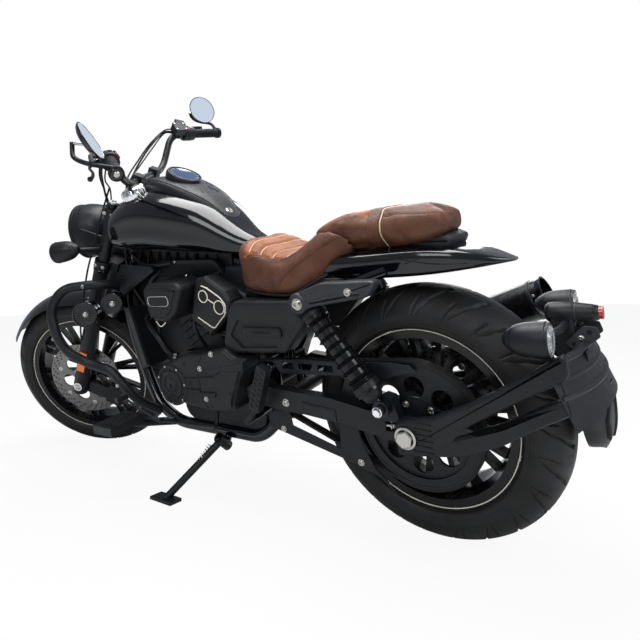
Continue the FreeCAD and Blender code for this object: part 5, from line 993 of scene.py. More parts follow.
def rear_details():
    ribs = Group()
    for level, radius in ((506, 7), (474, 4.5), (444, 6)):
        line = traced("rear_mudguard", [(-700, 176 * (k / 14 - 1), level) for k in range(29)], (1, 0, 0), -2)
        ribs.tube(line, radius, 8, per=2)
    ribs.done("mudguard_ribs", "grey_plastic")
    # Painted shade: the mudguard's two recesses are near-black plates.
    recess = Group()
    for y in (46, -46):
        x = touch("rear_mudguard", (-700, y, 492), (1, 0, 0))[0].x
        recess.plate(rounded([(y - 20, 481), (y + 20, 481), (y + 20, 503), (y - 20, 503)], 3), -x - 2, -x + 0.7, 0.3,
                     lambda u, v, w: (-w, u, v))
    recess.done("mudguard_slots", "painted_shade_black")
    # Painted shade: the mudguard's seam lines are near-black cords.
    seams = Group()
    for side in SIDES:
        lying(seams, "rear_mudguard", [(-318, 505), (-328, 478), (-338, 440), (-344, 412)], 1.2, side, 0.1)
    seams.done("mudguard_seams", "painted_shade_black")
    lamp, seam, holes, screws = groups(4)
    base, aft = (-300, 0, 567), (-1, 0, 0)
    lamp.lathe(base, aft, [(0, -18), (16, -17), (20.5, -12), (22.4, -4), (22.6, 38), (21.6, 40), (19, 40)], 48)
    lamp.lathe(base, aft, [(19, 43.4), (21.4, 43.6), (17.8, 72), (15.2, 83), (13.2, 84.4), (13, 80)], 48)
    seam.lathe(base, aft, [(19, 39.6), (22.4, 40.2), (22.2, 43), (19, 43.8)], 48)
    for side in SIDES:
        lamp.soft(rounded([(-340, 574), (-294, 574), (-288, 520), (-292, 474), (-322, 470), (-334, 500)], 9), 0,
                  side * 21, 8)
        seam.soft(rounded([(-318, 508), (-356, 545), (-380, 543), (-386, 522), (-340, 486)], 4), side * 22, side * 26,
                  1.5)
        # Painted shade: near-black discs stand in for the bracket's holes.
        for x, z, radius in ((-335, 506, 4), (-366, 532, 5.5)):
            holes.lathe((x, side * 25.6, z), (0, side, 0), [(radius, 0), (radius, 0.9), (0, 0.9)], 20)
        screws.bolt((-350, side * 26, 520), (0, side, 0), 4.5, 4)
    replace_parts(lamp.done("tail_lamp_barrel", "matte_black", 45), "tail_lamp")
    seam.done("tail_lamp_seam", "cast_grey")
    holes.done("lamp_bracket_holes", "painted_shade_black")
    screws.done("lamp_bracket_bolts", "bright_metal")
    bullets("rear_signals", MACHINE, [(-272, side * 150, 549) for side in SIDES], aft, "chassis")


def bullets(name, place, centres, way, body):
    """The smooth shells of a pair of signals, their rims and their ribbed lenses."""
    shells, rims, lenses = groups(3, place, body)
    way = Vector(way).normalized()
    shell = [(36 * math.sqrt(1 - (1 - k / 24) ** 2.2), 76 * k / 24 * (0.55 + 0.45 * k / 24)) for k in range(24)]
    lens = [(34.4, 76), (34.6, 80)]
    for k in range(7):
        lens += [(34 - 3.2 * k, 84 + 0.7 * k), (32.6 - 3.2 * k, 82.6 + 0.8 * k)]
    for middle in centres:
        start = Vector(middle) - way * 38
        shells.lathe(start, way, shell + [(36, 74), (34, 76)], 48)
        rims.lathe(start, way, [(34, 72), (36.6, 73), (36.8, 77), (35.6, 78.6), (34.2, 78)], 48)
        lenses.lathe(start, way, lens + [(0, 88)], 48)
        for out in spread(way, 16):
            lenses.tube([start + way * 81 + out * 34, start + way * 87 + out * 20], 1.4, 6)
    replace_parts(lenses.done(name + "_lens", "clear_lens", 60), name[:-1] + "_lenses")
    shells.done(name + "_shell", "matte_black", 60)
    rims.done(name + "_rim", "matte_black")


UPPER_ARM = [(28, 352), (-58, 370), (-152, 413), (-216, 450), (-343, 530), (-347, 482), (-232, 415), (-146, 362),
             (-90, 300), (-48, 282), (28, 272)]
LOWER_ARM = [(28, 352), (-58, 362), (-140, 362), (-158, 354), (-211, 375), (-290, 420), (-331, 442), (-346, 412),
             (-286, 379), (-206, 328), (-134, 297), (-99, 288), (-48, 280), (28, 272)]
STRUT = [(256, 606), (258, 640), (240, 657), (216, 667), (168, 682), (30, 684), (20, 680), (24, 668), (44, 645),
         (202, 622), (226, 608), (240, 602)]


def rounded_pieces():
    for node, width, finish in (("side_covers", 0.004, "black_plastic"), ("neck_covers", 0.002, "black_plastic"),
                                ("belt_guards", 0.0015, "matte_black"), ("head_cover", 0.003, "engine_black")):
        softened(node, width, finish)
    base, arms, struts, bolts = groups(4)
    for side in SIDES:
        base.soft(rounded([(122, 762), (-96, 764), (-122, 750), (-110, 726), (0, 716), (100, 720)], 10), 0, side * 60,
                  12)
        arms.soft(rounded(UPPER_ARM, 12), side * 157.4, side * 177.3, 9, 6)
        arms.soft(rounded(LOWER_ARM, 12), side * 157.4, side * 176.6, 9, 6)
        struts.soft(rounded(STRUT, 9), side * 168, side * 197, 8, 6)
        struts.soft(rounded([(206, 634), (160, 651), (70, 660), (52, 656), (66, 648), (150, 640), (200, 630)], 4, 3),
                    side * 194, side * 200, 3, 4)
        struts.lathe((238, side * 168, 632), (0, side, 0), [(27, 0), (27, 27), (24, 32), (17, 34), (15, 31), (0, 31)],
                     48)
        bolts.bolt((238, side * 199, 632), (0, side, 0), 11, 8)
        bolts.bolt((90, side * 197, 658), (0, side, 0), 8, 5)
    base.done("pillion_base", "black_plastic", 50)
    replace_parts(arms.done("mud_arms", "matte_black", 50), "mudguard_arms")
    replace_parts(struts.done("strut_plates", "cast_grey", 50), "fender_struts")
    bolts.done("strut_bolts", "bright_metal")
    flap, grooves = groups(2)

    def on_flap(t, turn, half, start=-330):
        return (start - 14 * t - (64 - 10 * t) * math.cos(turn) * (1 - 0.5 * t ** 4), half * math.sin(turn),
                424 - 148 * t)

    rows = []
    for k in range(15):
        t = k / 14
        half = 74 * (1 - t ** 3) ** 0.5 * (0.82 + 0.18 * math.sin(math.pi * min(1, t * 1.6)))
        rows.append([flap.vert(on_flap(t, math.pi / 2 * (j / 10 - 1), half)) for j in range(21)])
    flap.skin(rows, closed=False)
    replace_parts(flap.done("flap_tongue", "grey_plastic", 60), "mud_flap")
    # Painted shade: the flap's grooves are near-black flattened cords.
    for side in (-1, 0, 1):
        line = []
        for k in range(13):
            t = 0.18 + 0.62 * k / 12
            turn = side * (0.62 - 0.18 * abs(2 * k / 12 - 1))
            line.append(on_flap(t, turn, 74 * (1 - t ** 3) ** 0.5, -331))
        grooves.tube(line, 3.6, 8, per=2, flat=0.5)
    grooves.done("flap_grooves", "painted_shade_black")


def muffler_details():
    front, rear = Vector((265, -256, 360)), Vector((-241, -256, 549))
    way = (rear - front).normalized()
    length = (rear - front).length
    bands, lip, core, bolts = groups(4)
    for start in (6, 132, length - 40):
        bands.lathe(front, way, [(52.2, start), (53.6, start + 1.5), (53.6, start + 9), (52.2, start + 10.5)], 56)
    bands.done("muffler_bands", "matte_black")
    lip.lathe(front, way, [(52.2, length - 14), (53.8, length - 10), (53.8, length - 0.6), (51, length + 0.2),
                           (48.8, length - 2), (48.8, length - 12)], 56)
    lip.done("muffler_lip", "gloss_black")
    # The tube inside the tip is the pipe's inner core, drawn near-black: painted shade inside the pipe.
    core.lathe(front, way, [(20, length - 58), (20, length - 30), (17, length - 30), (17, length - 56)], 32)
    core.done("muffler_core", "painted_shade_black")
    for out in spread(way, 7):
        bolts.bolt(front + way * (length - 24) + out * 53, out, 3, 2)
    bolts.done("muffler_bolts", "bright_metal")


# Engine and side panels

INTAKE = rounded([(829, 690), (800, 698), (742, 700), (684, 694), (664, 676), (706, 598), (744, 575), (800, 575),
                  (828, 596), (841, 650), (843, 672)], 12)
HEAD_LINE = [(618, 677), (600, 672), (548, 641), (530, 618), (536, 592), (586, 550), (600, 554), (650, 582)]
PRIMARY = rounded([(777, 448), (690, 479), (619, 483), (559, 495), (528, 500), (513, 488), (494, 477), (452, 474),
                   (461, 443), (481, 419), (519, 341), (513, 323), (566, 310), (624, 312), (688, 314), (765, 323),
                   (796, 321), (827, 369), (835, 404), (805, 437)], 9, 3)
INTAKE_FACE, HEAD_FACE, COVER_FACE, RIGHT_FACE = 196, 150.9, 188, -171
LEFTWARDS, RIGHTWARDS = (0, 1, 0), (0, -1, 0)


def smooth_corners(line):
    """An open line with its inner corners rounded off."""
    inner = [spot for a, b, c in zip(line, line[1:], line[2:]) for spot in bent(a, b, c, 7, (0, 0.33, 0.67, 1), 0.4)]
    return [line[0], *inner, line[-1]]


def intake_details():
    y = INTAKE_FACE
    body, inset, badge, rim, chevron, cover = groups(6)
    body.soft(INTAKE, 90, y, 16, 7)
    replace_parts(body.done("intake_body", "engine_black", 50), "intake_cover")
    inset.soft(inset_outline(INTAKE, 17), y - 2, y + 2.4, 2.2, 3)
    inset.ring(inset_outline(INTAKE, 14), y - 0.6, 2.2, 8)
    inset.done("intake_panel", "engine_black")
    badge.plate(rounded([(810, 628), (810, 656), (718, 656), (718, 628)], 13.5, 6), y + 1.9, y + 4.6, 1.2)
    badge.done("intake_badge", "matte_black")
    rim.ring(rounded([(811, 627), (811, 657), (717, 657), (717, 627)], 14.5, 6), y + 4.5, 1.7)
    rim.done("intake_badge_rim", "bright_metal")
    chevron.tube([(802, 188, 577), (788, 189, 564), (780, 189.5, 561), (772, 189, 564), (758, 188, 573)], 1.7, 6, per=3)
    chevron.done("intake_marks", "cream_paint")
    y = HEAD_FACE
    cover.tube([(u, y, v) for u, v in smooth_corners(HEAD_LINE)], 2.0, 6, per=1)
    for centre, radius in (((617, 645), 18), ((557, 612), 20)):
        cover.ring(oval(centre, radius, 30), y, 1.7)
    cover.tube([(600, y, 637), (576, y, 624)], 1.7, 6)
    cover.tube([(541, y, 602), (531, y, 597)], 1.7, 6)
    cover.done("head_cover_lines", "cream_paint")


def cover_details():
    y = COVER_FACE
    primary, step, slots, bolts, right, ring = groups(6)
    primary.soft(PRIMARY, 118, y, 11)
    primary.soft(PRIMARY, -118, 16 - y, 14)
    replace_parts(primary.done("primary_cover", "engine_black", 50), "engine_covers")
    step.soft(rounded([(646, 480), (619, 482), (559, 494), (529, 498), (513, 487), (494, 476), (453, 473), (459, 442),
                       (550, 436), (566, 424), (642, 424)], 5, 3), y - 2, y + 7, 5)
    for outline in ([(711, 357), (711, 370), (646, 374), (646, 361)], [(641, 354), (641, 367), (583, 370), (583, 357)]):
        step.soft(rounded(outline, 3, 3), y - 2, y + 5, 3)
    step.lathe((771, y - 4, 376), LEFTWARDS,
               [(66, 0), (65.5, 5), (61, 8), (56, 8), (54, 5), (46, 5), (44, 8.6), (37, 9.4), (34, 9.4), (32, 6.6),
                (22, 6.6), (20, 9.6), (12, 11), (6, 11), (5, 8), (0, 8)], 72)
    step.done("cover_steps", "engine_black")
    middle = Vector((771, y + 1.4, 376))
    # Painted shade: the cover's slots, grooves and sunken discs are near-black.
    for k in range(12):
        out = Vector((math.cos(math.tau * k / 12), 0, math.sin(math.tau * k / 12)))
        slots.tube([middle + out * 47, middle + out * 53], 2.2, 6, flat=0.6)
    slots.tube([(708, y - 0.4, 402), (650, y - 0.4, 408), (584, y - 0.4, 416)], 3.6, 8, flat=0.5)
    slots.tube([(616, y + 6.6, 476), (634, y + 6.6, 452), (644, y + 6.6, 428)], 1.6, 8)
    slots.tube([(647, y - 0.2, 420), (648, y - 0.2, 402), (643, y - 0.2, 363), (637, y - 0.2, 334),
                (622, y - 0.6, 318)], 1.6, 8)
    for x, z, radius in ((703, 446, 8), (686, 388, 7), (525, 372, 6)):
        slots.lathe((x, y - 3, z), LEFTWARDS, [(radius, 0), (radius, 3.3), (0, 3.3)], 20)
    slots.done("cover_slots", "painted_shade_black")
    for x, z, lift in ((628, 440, 7), (627, 346, 0), (573, 486, 7)):
        bolts.bolt((x, y + lift, z), LEFTWARDS, 6.2, 5)
    for k in range(7):
        t = math.tau * (k + 0.4) / 7
        bolts.bolt((771 + 60 * math.cos(t), y + 4, 376 + 60 * math.sin(t)), LEFTWARDS, 2.6, 2)
    bolts.done("cover_bolts", "bright_metal")
    for x, z in ((640, 440), (690, 466), (790, 430), (812, 400), (740, 330), (660, 326), (560, 330)):
        right.bolt((x, RIGHT_FACE, z), RIGHTWARDS, 4.6, 4)
    right.done("right_cover_bolts", "bright_metal")
    ring.lathe((720, RIGHT_FACE, 390), RIGHTWARDS, [(60, -1), (60, 6), (55, 8), (50, 8), (48, 5), (20, 5), (18, 7),
                                                    (0, 7.5)], 56)
    ring.done("right_cover_rings", "engine_black")


def hoses():
    pipes, clips = groups(2)
    pipes.tubes((10, 12, (1010, 60, 560), (960, 96, 540), (900, 112, 500), (870, 104, 450), (850, 84, 430)),
                (9, 12, (1020, -40, 590), (960, -70, 600), (900, -88, 640), (860, -86, 690)),
                (5.5, 10, (690, 96, 470), (700, 118, 520), (704, 122, 560), (690, 110, 600)),
                (4, 10, (560, 92, 500), (590, 118, 520), (640, 124, 536), (690, 122, 548), (728, 112, 560)),
                (4, 10, (520, 100, 488), (500, 120, 520), (498, 122, 560), (510, 104, 600)),
                (4, 10, (1100, 44, 800), (1070, 70, 770), (1050, 80, 720), (1030, 84, 660), (1000, 70, 600)))
    pipes.done("engine_hoses", "hose_rubber")
    for spot, aim in (((1000, 68, 556), (-5, 3, -2)), ((856, 92, 436), (-2, -2, -1))):
        clips.lathe(spot, aim, [(10.5, -5), (11.5, -5), (11.5, 5), (10.5, 5)], 24)
    clips.done("hose_clips", "bright_metal")


def engine_core():
    """The air box, throttle body, wiring and frame clutter between the cylinders and the tank."""
    core, loom, body, dots = groups(4)
    for outline, start, end in (([(590, 676), (640, 742), (900, 752), (960, 700), (900, 668), (700, 662)], 62, 62),
                                ([(470, 560), (470, 720), (600, 720), (600, 560)], 0, 66)):
        for side in (1, -1):
            core.soft(rounded(outline, 14), -side * start, side * end, 12)
    core.done("air_box", "black_plastic", 45)
    for side in SIDES:
        loom.soft(rounded([(600, 520), (590, 770), (1040, 800), (1140, 775), (1160, 690), (1168, 598), (1128, 576),
                           (1010, 560), (985, 400), (900, 322), (780, 318), (780, 480)], 16), 0, side * 34, 8)
        for k in range(9):
            loom.tube([(650 + 46 * k, side * 36, 752 + 5 * k), (668 + 44 * k, side * (46 + 4 * (k % 3)), 715 + 3 * k),
                       (690 + 38 * k, side * 44, 660 + 3 * k)], 4 + k % 3, 8)
        body.lathe((706, 0, 560), (0, side, 0), [(26, 0), (26, 44), (30, 46), (30, 54), (22, 58), (20, 74), (0, 76)],
                   32)
        body.lathe((720, side * 40, 618), (0, side, 0.2), [(15, 0), (15, 34), (12, 38), (0, 38)], 24)
        y = side
        body.tubes((9, 12, (900, y * 46, 720), (930, y * 70, 700), (960, y * 74, 660), (966, y * 70, 600)),
                   (6, 10, (620, y * 66, 700), (660, y * 84, 690), (700, y * 88, 672), (730, y * 84, 640)),
                   (7, 10, (840, y * 60, 742), (900, y * 78, 740), (980, y * 70, 745), (1050, y * 50, 770)),
                   (4, 8, (560, y * 60, 640), (600, y * 90, 668), (650, y * 92, 680), (720, y * 96, 700)),
                   (6, 10, (870, y * 50, 610), (900, y * 62, 590), (936, y * 70, 560), (950, y * 66, 500)))
    loom.done("wiring_loom", "hose_rubber", 45)
    body.done("throttle_and_wires", "engine_black")
    for x, y, z in ((668, 92, 688), (735, 98, 702), (820, 64, 744), (930, 74, 702), (706, 78, 560)):
        dots.lathe((x, y - 3, z), (0.1, 1, 0.1), [(5, 0), (5, 4), (3.5, 5.5), (0, 5.5)], 14)
    dots.done("wire_clips", "bright_metal")


def panel_details():
    slot, rims, vents, neck, cool, flanks = groups(6)
    outline = [(394 + 299 * a, 557 + 152 * b) for a, b in
               ((-0.215, -0.135), (0.239, -0.135), (0.239, 0.01), (-0.215, 0.01))]
    # Painted shade: the side covers' slots and the neck's vents are near-black plates.
    for side in SIDES:
        y = beside("side_covers", 397, 548, side)[0].y
        slot.plate(rounded([(365, 544), (429, 544), (429, 552), (365, 552)], 4), y - 0.6 * side, y + 0.6 * side, 0.2)
        rims.ring(rounded(outline, 9), beside("side_covers", 397, 556, side)[0].y, 1.1)
        for k in (-1, 0, 1):
            y = beside("neck_covers", 1074, 701 + 12 * k, side)[0].y
            half = 16 if k else 19
            low, high = 698 + 12 * k, 704 + 12 * k
            vents.plate(rounded([(1074 - half, low), (1074 + half, low), (1074 + half, high), (1074 - half, high)],
                                2.8), y - 0.6 * side, y + 0.8 * side, 0.2)
        y = beside("neck_covers", 1074, 716, side)[0].y
        neck.lathe((1074, y - side, 701), (0, side, 0), [(29, 0), (29, 2.2), (26, 3), (24, 2.2), (24, 0)], 36)
        flanks.plate(rounded([(1000, 392), (1022, 392), (1078, 600), (1056, 600)], 4), side * 99.2, side * 103, 1.2)
    slot.done("side_cover_slots", "painted_shade_black")
    rims.done("side_cover_rims", "black_plastic")
    vents.done("neck_vents", "painted_shade_black")
    neck.done("neck_vent_rings", "black_plastic")
    for k in range(24):
        z = 396 + 8.2 * k
        x = 1063 + (z - 490) * math.tan(math.radians(15))
        cool.plate([(x, z), (x + 3, z), (x + 3, z + 2), (x, z + 2)], -92, 92)
    cool.done("radiator_fins", "black_alloy")
    flanks.done("radiator_sides", "cast_grey")


def horn_details():
    ribs, caps = groups(2)
    way, side, up = Vector((-0.6, 0.8, 0)), Vector((0.8, 0.6, 0)), Vector((0, 0, 1))
    for middle, radius in (((1165, 195, 600), 43), ((1080, 140, 625), 36)):
        face = Vector(middle) + way * 20
        for k in range(20):
            t = math.tau * k / 20
            out = side * math.cos(t) + up * math.sin(t)
            ribs.tube([face + out * radius * 0.36, face + out * radius * 0.86], 1.6, 6)
        for share in (0.36, 0.6, 0.86):
            r = radius * share
            ribs.lathe(face, way, [(r - 1.6, -1), (r - 1.2, 1.8), (r + 1.2, 1.8), (r + 1.6, -1)], 40)
        ribs.lathe(face, way, [(radius + 1, -30), (radius + 2, -26), (radius + 2, 2), (radius, 4), (radius - 3, 3),
                               (radius - 4, -1)], 48)
        caps.hexagon(face, way, 7, 6)
    ribs.done("horn_ribs", "gloss_black")
    caps.done("horn_nuts", "bright_metal")


def foot_details():
    grip, pegs, rod, lever, brake = groups(5)
    spring = Group(body="stand")
    for side in SIDES:
        for row in range(6):
            starts = [(868 + 16 * row + (4 if k % 2 else -4), side * (256 + 88 * k / 12), 420) for k in range(13)]
            grip.tube(traced("foot_controls", starts, (0, 0, -1), 0.4), 2.6, 6, per=1)
        for row in range(7):
            z = 360 + 15 * row
            for shift in (-9, 9):
                x = 425 - (z - 345) * math.tan(math.radians(23.5)) * 0.9 + shift
                y = beside("passenger_pegs", x, z, side)[0].y
                pegs.plate([(x - 7, z - 5), (x + 7, z - 5), (x, z + 6)], y - side, y + 2.4 * side, 1.2)
    grip.done("foot_pad_ribs", "grip_rubber")
    pegs.done("peg_rubber", "grip_rubber")
    rod.tube([(838, 200, 258), (760, 199, 262), (660, 198, 266), (600, 196, 268)], 4, 10)
    for x, z in ((838, 258), (600, 268)):
        rod.lathe((x, 192, z), LEFTWARDS, [(8, 0), (8, 10), (4, 12), (0, 12)], 16)
    rod.tube([(600, 190, 268), (606, 176, 290), (610, 166, 318)], 6, 10)
    rod.done("shift_rod", "matte_black")
    lever.tube([(830, 208, 258), (860, 214, 268), (905, 222, 292), (960, 228, 322), (985, 232, 334)], 6.5, 10, flat=0.7)
    lever.tube([(968, 222, 330), (970, 262, 332)], 9, 14)
    lever.done("shift_lever", "matte_black")
    brake.tube([(840, -208, 258), (880, -216, 270), (930, -226, 300), (985, -232, 318)], 7, 10, flat=0.7)
    brake.plate(rounded([(964, -214), (1004, -214), (1004, -262), (964, -262)], 6), 318, 328, 2.5,
                lambda u, v, w: (u, v, w))
    brake.done("brake_pedal", "matte_black")
    top, foot = Vector((664, 146, 178)), Vector((712, 212, 96))
    aim = (foot - top).normalized()
    side = aim.orthogonal().normalized()
    up = aim.cross(side)
    coil = []
    for k in range(121):
        angle = math.tau * 14 * k / 120
        coil.append(top.lerp(foot, k / 120) + Vector((12, 10, 8)) + (side * math.cos(angle) + up * math.sin(angle)) * 6)
    spring.tube(coil, 1.3, 6, per=1)
    spring.done("stand_spring", "bright_metal")


def guard_bolts():
    bolts = Group()
    for side in SIDES:
        for x, z in ((1129, 700), (1034, 356)):
            set_head(bolts.hexagon, "engine_guard", x, z, 6, side)
        set_head(bolts.hexagon, "frame", 455, 366, 9, side)
    bolts.done("frame_bolts", "bright_metal")


# Front end and hand controls

def bar(side):
    """The end of the bar on a side, and the way from it to the knee."""
    end, knee = Vector((-86, 428 * side, 1347)), Vector((36, 250 * side, 1326))
    return end, (knee - end).normalized()


def squared(aim, way):
    """The direction nearest to an aim that is square to a way."""
    aim = Vector(aim)
    return (aim - way * aim.dot(way)).normalized()


def controls():
    grips, weights, screws, switches, buttons, pale = groups(6, STEERING, "fork")
    profile = [(12.8, 0), (18.5, 0), (19, 4)]
    for k in range(17):
        start = 7 + 6 * k
        profile += [(18.0, start), (18.0, start + 3.6), (16.6, start + 4.2), (16.6, start + 5.4)]
    profile += [(19, 110), (20.5, 114), (20.5, 117), (12.8, 118)]
    for side in SIDES:
        end, way = bar(side)
        grips.lathe(end, way, profile, 32)
        weights.lathe(end, -way, [(17, -1), (17.6, 2), (17.6, 6), (15.5, 7.5), (15.5, 9), (17.6, 10.5), (17.6, 18),
                                  (15, 21), (6, 21)], 32)
        screws.lathe(end, -way, [(8.5, 19), (8.5, 23), (6.5, 24.4), (4, 24.4), (3.6, 22), (0, 22)], 20)
        switches.lathe(end, way, [(14, 121), (24, 122), (27.6, 126), (28, 134), (28, 148), (27, 150), (26.2, 151),
                                  (27, 152), (28, 156), (27.2, 164), (22, 169), (14, 170)], 40)
        up = squared((-0.45, 0, 0.9), way)
        across = way.cross(up)
        for start, turn, target in ((134, 0.15, buttons), (146, 0.6, pale), (158, 0.1, pale), (142, -0.5, pale)):
            out = (up * math.cos(turn) + across * math.sin(turn)).normalized()
            target.lathe(end + way * start + out * 26, out, [(6, 0), (6, 4), (5, 5.2), (0, 5.4)], 18)
    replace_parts(grips.done("grip_sleeves", "grip_rubber"), "grips")
    weights.done("bar_weights", "gloss_black")
    screws.done("bar_screws", "bright_metal")
    switches.done("switch_housings", "black_plastic")
    buttons.done("red_buttons", "red_plastic")
    pale.done("grey_buttons", "grey_plastic")
    levers()
    mirrors()
    cables()


def levers():
    black, bright, tank, screws = groups(4, STEERING, "fork")
    for side, group in ((1, black), (-1, bright)):
        end, way = bar(side)
        ahead = squared((0.9, 0, -0.42), way)
        start = end + way * 176 + ahead * 30
        path = [start + way * along + ahead * out
                for along, out in ((0, 6), (-22, 22), (-60, 30), (-110, 26), (-150, 30), (-166, 38))]
        group.tube(path, 5.4, 10, flat=0.7)
        group.lathe(path[-1], path[-1] - path[-2], [(0, -7), (6, -4.5), (7.6, 0), (6, 4.5), (0, 7)], 16)
        black.lathe(end + way * 172, way, [(14, 0), (19, 1), (19, 17), (14, 18)], 28)
        black.tube([end + way * 180 + ahead * 16, start + ahead * 8], 9, 12, flat=0.8)
        bright.hexagon(start + ahead * 6 + way.cross(ahead) * 6, way.cross(ahead), 6, 5)
    black.done("clutch_lever", "matte_black")
    bright.done("brake_lever", "bright_metal")
    end, way = bar(-1)
    up = squared((-0.5, 0, 0.86), way)
    across = way.cross(up)
    middle = end + way * 192 + up * 26

    def on_bar(u, v, w):
        return middle + way * u + across * v + up * w

    tank.plate(rounded([(-26, -20), (26, -20), (26, 20), (-26, 20)], 6), -14, 10, 1.5, on_bar)
    tank.plate(rounded([(-28, -22), (28, -22), (28, 22), (-28, 22)], 7), 10, 17, 2, on_bar)
    tank.done("brake_reservoir", "black_plastic")
    for u in (-20, 20):
        for v in (-14, 14):
            screws.bolt(on_bar(u, v, 17), up, 2.6, 2)
    screws.done("reservoir_screws", "bright_metal")


MIRRORS = {1: ((-4.4, 434.5, 1410.5), (-0.624, -0.334, 0.706)), -1: ((-3.1, -440.3, 1418.5), (-0.543, 0.563, 0.623))}


def mirrors():
    shells, glasses, arms, joints = groups(4, STEERING, "fork")
    for side in SIDES:
        centre, look = Vector(MIRRORS[side][0]), Vector(MIRRORS[side][1]).normalized()
        shells.lathe(centre, look, [(0, -19), (22, -18), (40, -14), (51, -8), (56, -2), (57.4, 1), (57, 2.6), (55, 3),
                                    (54, 1.6)], 64)
        glasses.lathe(centre, look, [(54.6, 1.2), (54.2, 2), (0, 2.2)], 64)
        end, way = bar(side)
        root = end - way * 9
        arms.lathe(root, -way, [(19.5, -7), (21.5, -6), (21.5, 6), (19.5, 7), (8, 7)], 36)
        arms.tube([root + Vector((12, 0, 12)), (-40, side * 482, 1366), (-2, side * 474, 1362),
                   (22, side * 462, 1364), (36, side * 446, 1376), (44, side * 438, 1392)], 6.4, 12)
        start, back = Vector((44, side * 438, 1390)), centre - look * 17
        joints.tube([start, back.lerp(start, 0.4), back], 5, 12)
    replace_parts(shells.done("mirror_shells", "gloss_black", 50), "mirrors")
    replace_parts(glasses.done("mirror_faces", "mirror"), "mirror_glass")
    arms.done("mirror_arms", "matte_black")
    joints.done("mirror_joints", "chrome")


def cables():
    runs = Group(STEERING, "fork")
    for side in SIDES:
        end, way = bar(side)
        start = end + way * 178
        for k, (rise, out, radius) in enumerate(((0, 0, 3.6), (8, 10, 3.0), (-6, -6, 2.6))):
            runs.tube([start + Vector((20, 0, rise)), start + Vector((52, -side * 26, rise - 6)),
                       (76 + out, side * (196 - 8 * k), 1290 - 10 * k),
                       (92 + out, side * (150 - 10 * k), 1224 - 12 * k), (96 + out, side * (100 - 14 * k), 1150),
                       (84, side * (70 - 10 * k), 1080), (72, side * (50 - 6 * k), 1010 + 10 * k)], radius, 8)
    runs.tube([(100, 60, 1150), (96, 92, 1060), (92, 116, 960), (92, 134, 860), (88, 140, 760), (84, 138, 640),
               (74, 120, 540), (60, 96, 486)], 3.4, 8)
    runs.done("control_cables", "hose_rubber")


def fork_details():
    shroud, bright, rings = groups(3, STEERING, "fork")
    for side in SIDES:
        shroud.soft(rounded([(112, 930), (12, 930), (8, 860), (28, 770), (44, 706), (96, 706), (118, 800)], 14), 0,
                    side * 34, 10)
        for z in (884, 1087):
            for x in (40, 68):
                bright.bolt((x, side * 134, z), (0, side, 0), 5, 4)
        bright.lathe((53.5, side * 104, 1119), (0, 0, 1), [(19, 0), (19, 4), (16, 7), (9, 7), (8, 4), (0, 4)], 28)
        bright.lathe((53.5, side * 134, 346.8), (0, side, 0), [(19, -13), (19, -9), (15, -8), (15, -3), (11, 1.5),
                                                             (5, 3.6), (0, 4)], 28)
        for profile in ([(29.2, 684), (31.5, 686), (31.5, 694), (29, 697), (26, 700), (21.5, 704)],
                        [(28.2, 858), (30, 859), (30, 864), (28.2, 866)]):
            rings.lathe((53.5, side * 104, 0), (0, 0, 1), profile, 36)
    shroud.done("neck_shroud", "black_plastic", 45)
    bright.done("fork_bolts", "bright_metal")
    rings.done("fork_rings", "gloss_black")


def lamp_details():
    aim = (0.864, 0, -0.503)
    bowl = Group(STEERING, "fork")
    shares = smooth_line([(0.3, 0, 0), (0.35, 0, 0), (0.62, 0.1, 0), (0.86, 0.32, 0), (0.98, 0.62, 0), (1, 0.8, 0),
                          (1, 1, 0)], per=5)
    bowl.lathe((78.5, 0, 993.2), aim, [(0, -0.6)] + [(98 * s.x + 0.8, 130 * s.y - 0.6) for s in shares], 72)
    bowl.lathe((78.5, 0, 993.2), aim, [(98, 118), (101.5, 120), (102, 128), (99, 131), (96, 129)], 72)
    bowl.done("headlamp_bowl", "matte_black", 40)
    bullets("front_signals", STEERING, [(138, side * 205, 942) for side in SIDES], aim, "fork")


for part in (rounded_pieces, wheels, seats, tank_details, tail_details, shock_details, arm_details, guard_details,
             rear_details, muffler_details, intake_details, cover_details, hoses, engine_core, panel_details,
             horn_details, foot_details, guard_bolts, controls, fork_details, lamp_details):
    part()


# Studio

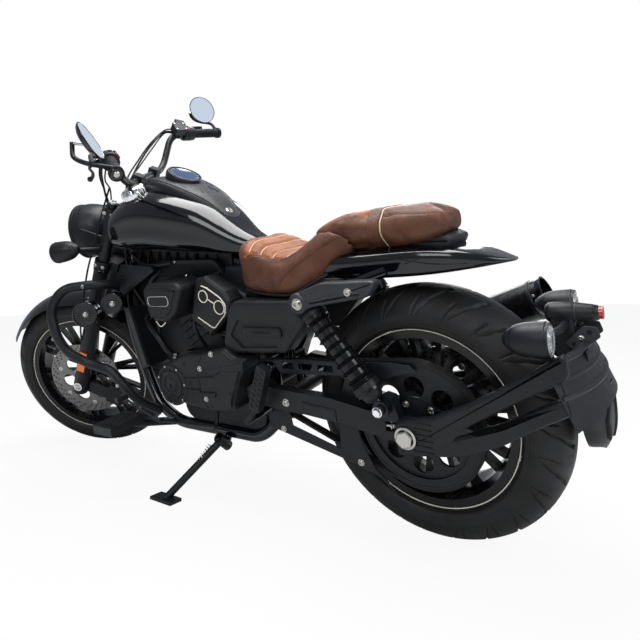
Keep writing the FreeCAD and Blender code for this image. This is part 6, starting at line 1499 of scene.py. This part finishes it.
def studio():
    floor_mesh = bpy.data.meshes.new("floor")
    bm = bmesh.new()
    bmesh.ops.create_grid(bm, x_segments=4, y_segments=4, size=12)
    bm.to_mesh(floor_mesh)
    ground = Paint("floor", (0.62, 0.62, 0.62), 0.7, specular=0.2)
    white = ground.node("ShaderNodeEmission", {"Color": (1, 1, 1, 1)})
    mix = ground.node("ShaderNodeMixShader")
    rays = ground.node("ShaderNodeLightPath")
    share = ground.node("ShaderNodeMath", {1: 0.92}, operation="MULTIPLY")
    ground.link(rays.outputs["Is Camera Ray"], share.inputs[0])
    ground.link(share.outputs[0], mix.inputs[0])
    ground.link(ground.shader.outputs[0], mix.inputs[1])
    ground.link(white.outputs[0], mix.inputs[2])
    ground.link(mix.outputs[0], ground.tree.nodes["Material Output"].inputs["Surface"])
    floor_mesh.materials.append(ground.material)
    linked("floor", floor_mesh)

    world = bpy.data.worlds.new("studio")
    world.use_nodes = True
    bpy.context.scene.world = world
    nodes, links = world.node_tree.nodes, world.node_tree.links
    soft = nodes["Background"]
    put(soft, {"Color": (0.86, 0.92, 1.0, 1), "Strength": 0.36})
    bright = nodes.new("ShaderNodeBackground")
    put(bright, {"Color": (1, 1, 1, 1)})
    mix = nodes.new("ShaderNodeMixShader")
    rays = nodes.new("ShaderNodeLightPath")
    seen = nodes.new("ShaderNodeMath")
    seen.operation = "MAXIMUM"
    links.new(rays.outputs["Is Camera Ray"], seen.inputs[0])
    links.new(rays.outputs["Is Transmission Ray"], seen.inputs[1])
    for source, place in ((seen, 0), (soft, 1), (bright, 2)):
        links.new(source.outputs[0], mix.inputs[place])
    links.new(mix.outputs[0], nodes["World Output"].inputs["Surface"])

    middle = middle_of("crankcase")
    for name, spot, size, power in (("top", (0, 0, 3.2), 2.4, 150), ("left", (-1.0, 3.4, 2.2), 1.8, 52),
                                    ("rear", (-3.4, 0.6, 1.8), 1.4, 42), ("right", (0.8, -3.2, 2.0), 2.0, 45)):
        data = bpy.data.lights.new(name, "AREA")
        data.size = size
        data.energy = power
        lamp = linked(name, data)
        lamp.location = middle + Vector(spot)
        lamp.rotation_euler = (-Vector(spot)).to_track_quat("-Z", "Y").to_euler()


FOCAL_PIXELS = 528.57
PHOTO_WIDTH = 640
CENTRE_X, CENTRE_Y = 291.79, 236.79
VIEW_YAW, VIEW_PITCH, VIEW_ROLL = math.radians(-53.0245), math.radians(4.9038), math.radians(-1.45)


def camera():
    """The photograph's own viewpoint, found from the two wheels."""
    ahead = Vector((math.cos(VIEW_PITCH) * math.cos(VIEW_YAW), math.cos(VIEW_PITCH) * math.sin(VIEW_YAW),
                    math.sin(VIEW_PITCH)))
    level = ahead.cross(Vector((0, 0, 1))).normalized()
    upright = level.cross(ahead)
    right = math.cos(VIEW_ROLL) * level + math.sin(VIEW_ROLL) * upright
    up = math.cos(VIEW_ROLL) * upright - math.sin(VIEW_ROLL) * level
    lifted = middle_of("rear_tyre") - Vector((0, math.sin(LEAN) * REAR_RADIUS, 0))
    spot = Vector((lifted.x - 0.5416, lifted.y + 1.3611, 0.6388 + 0.0017))
    data = bpy.data.cameras.new("photo_view")
    data.sensor_width = 36
    data.lens = 36 * FOCAL_PIXELS / PHOTO_WIDTH
    data.shift_x = (PHOTO_WIDTH / 2 - CENTRE_X) / PHOTO_WIDTH
    data.shift_y = (CENTRE_Y - PHOTO_WIDTH / 2) / PHOTO_WIDTH
    view = linked("photo_view", data)
    view.matrix_world = Matrix((*zip(right, up, -ahead, spot), (0, 0, 0, 1)))
    bpy.context.scene.camera = view


camera()
studio()
bpy.context.scene.view_settings.view_transform = "Standard"
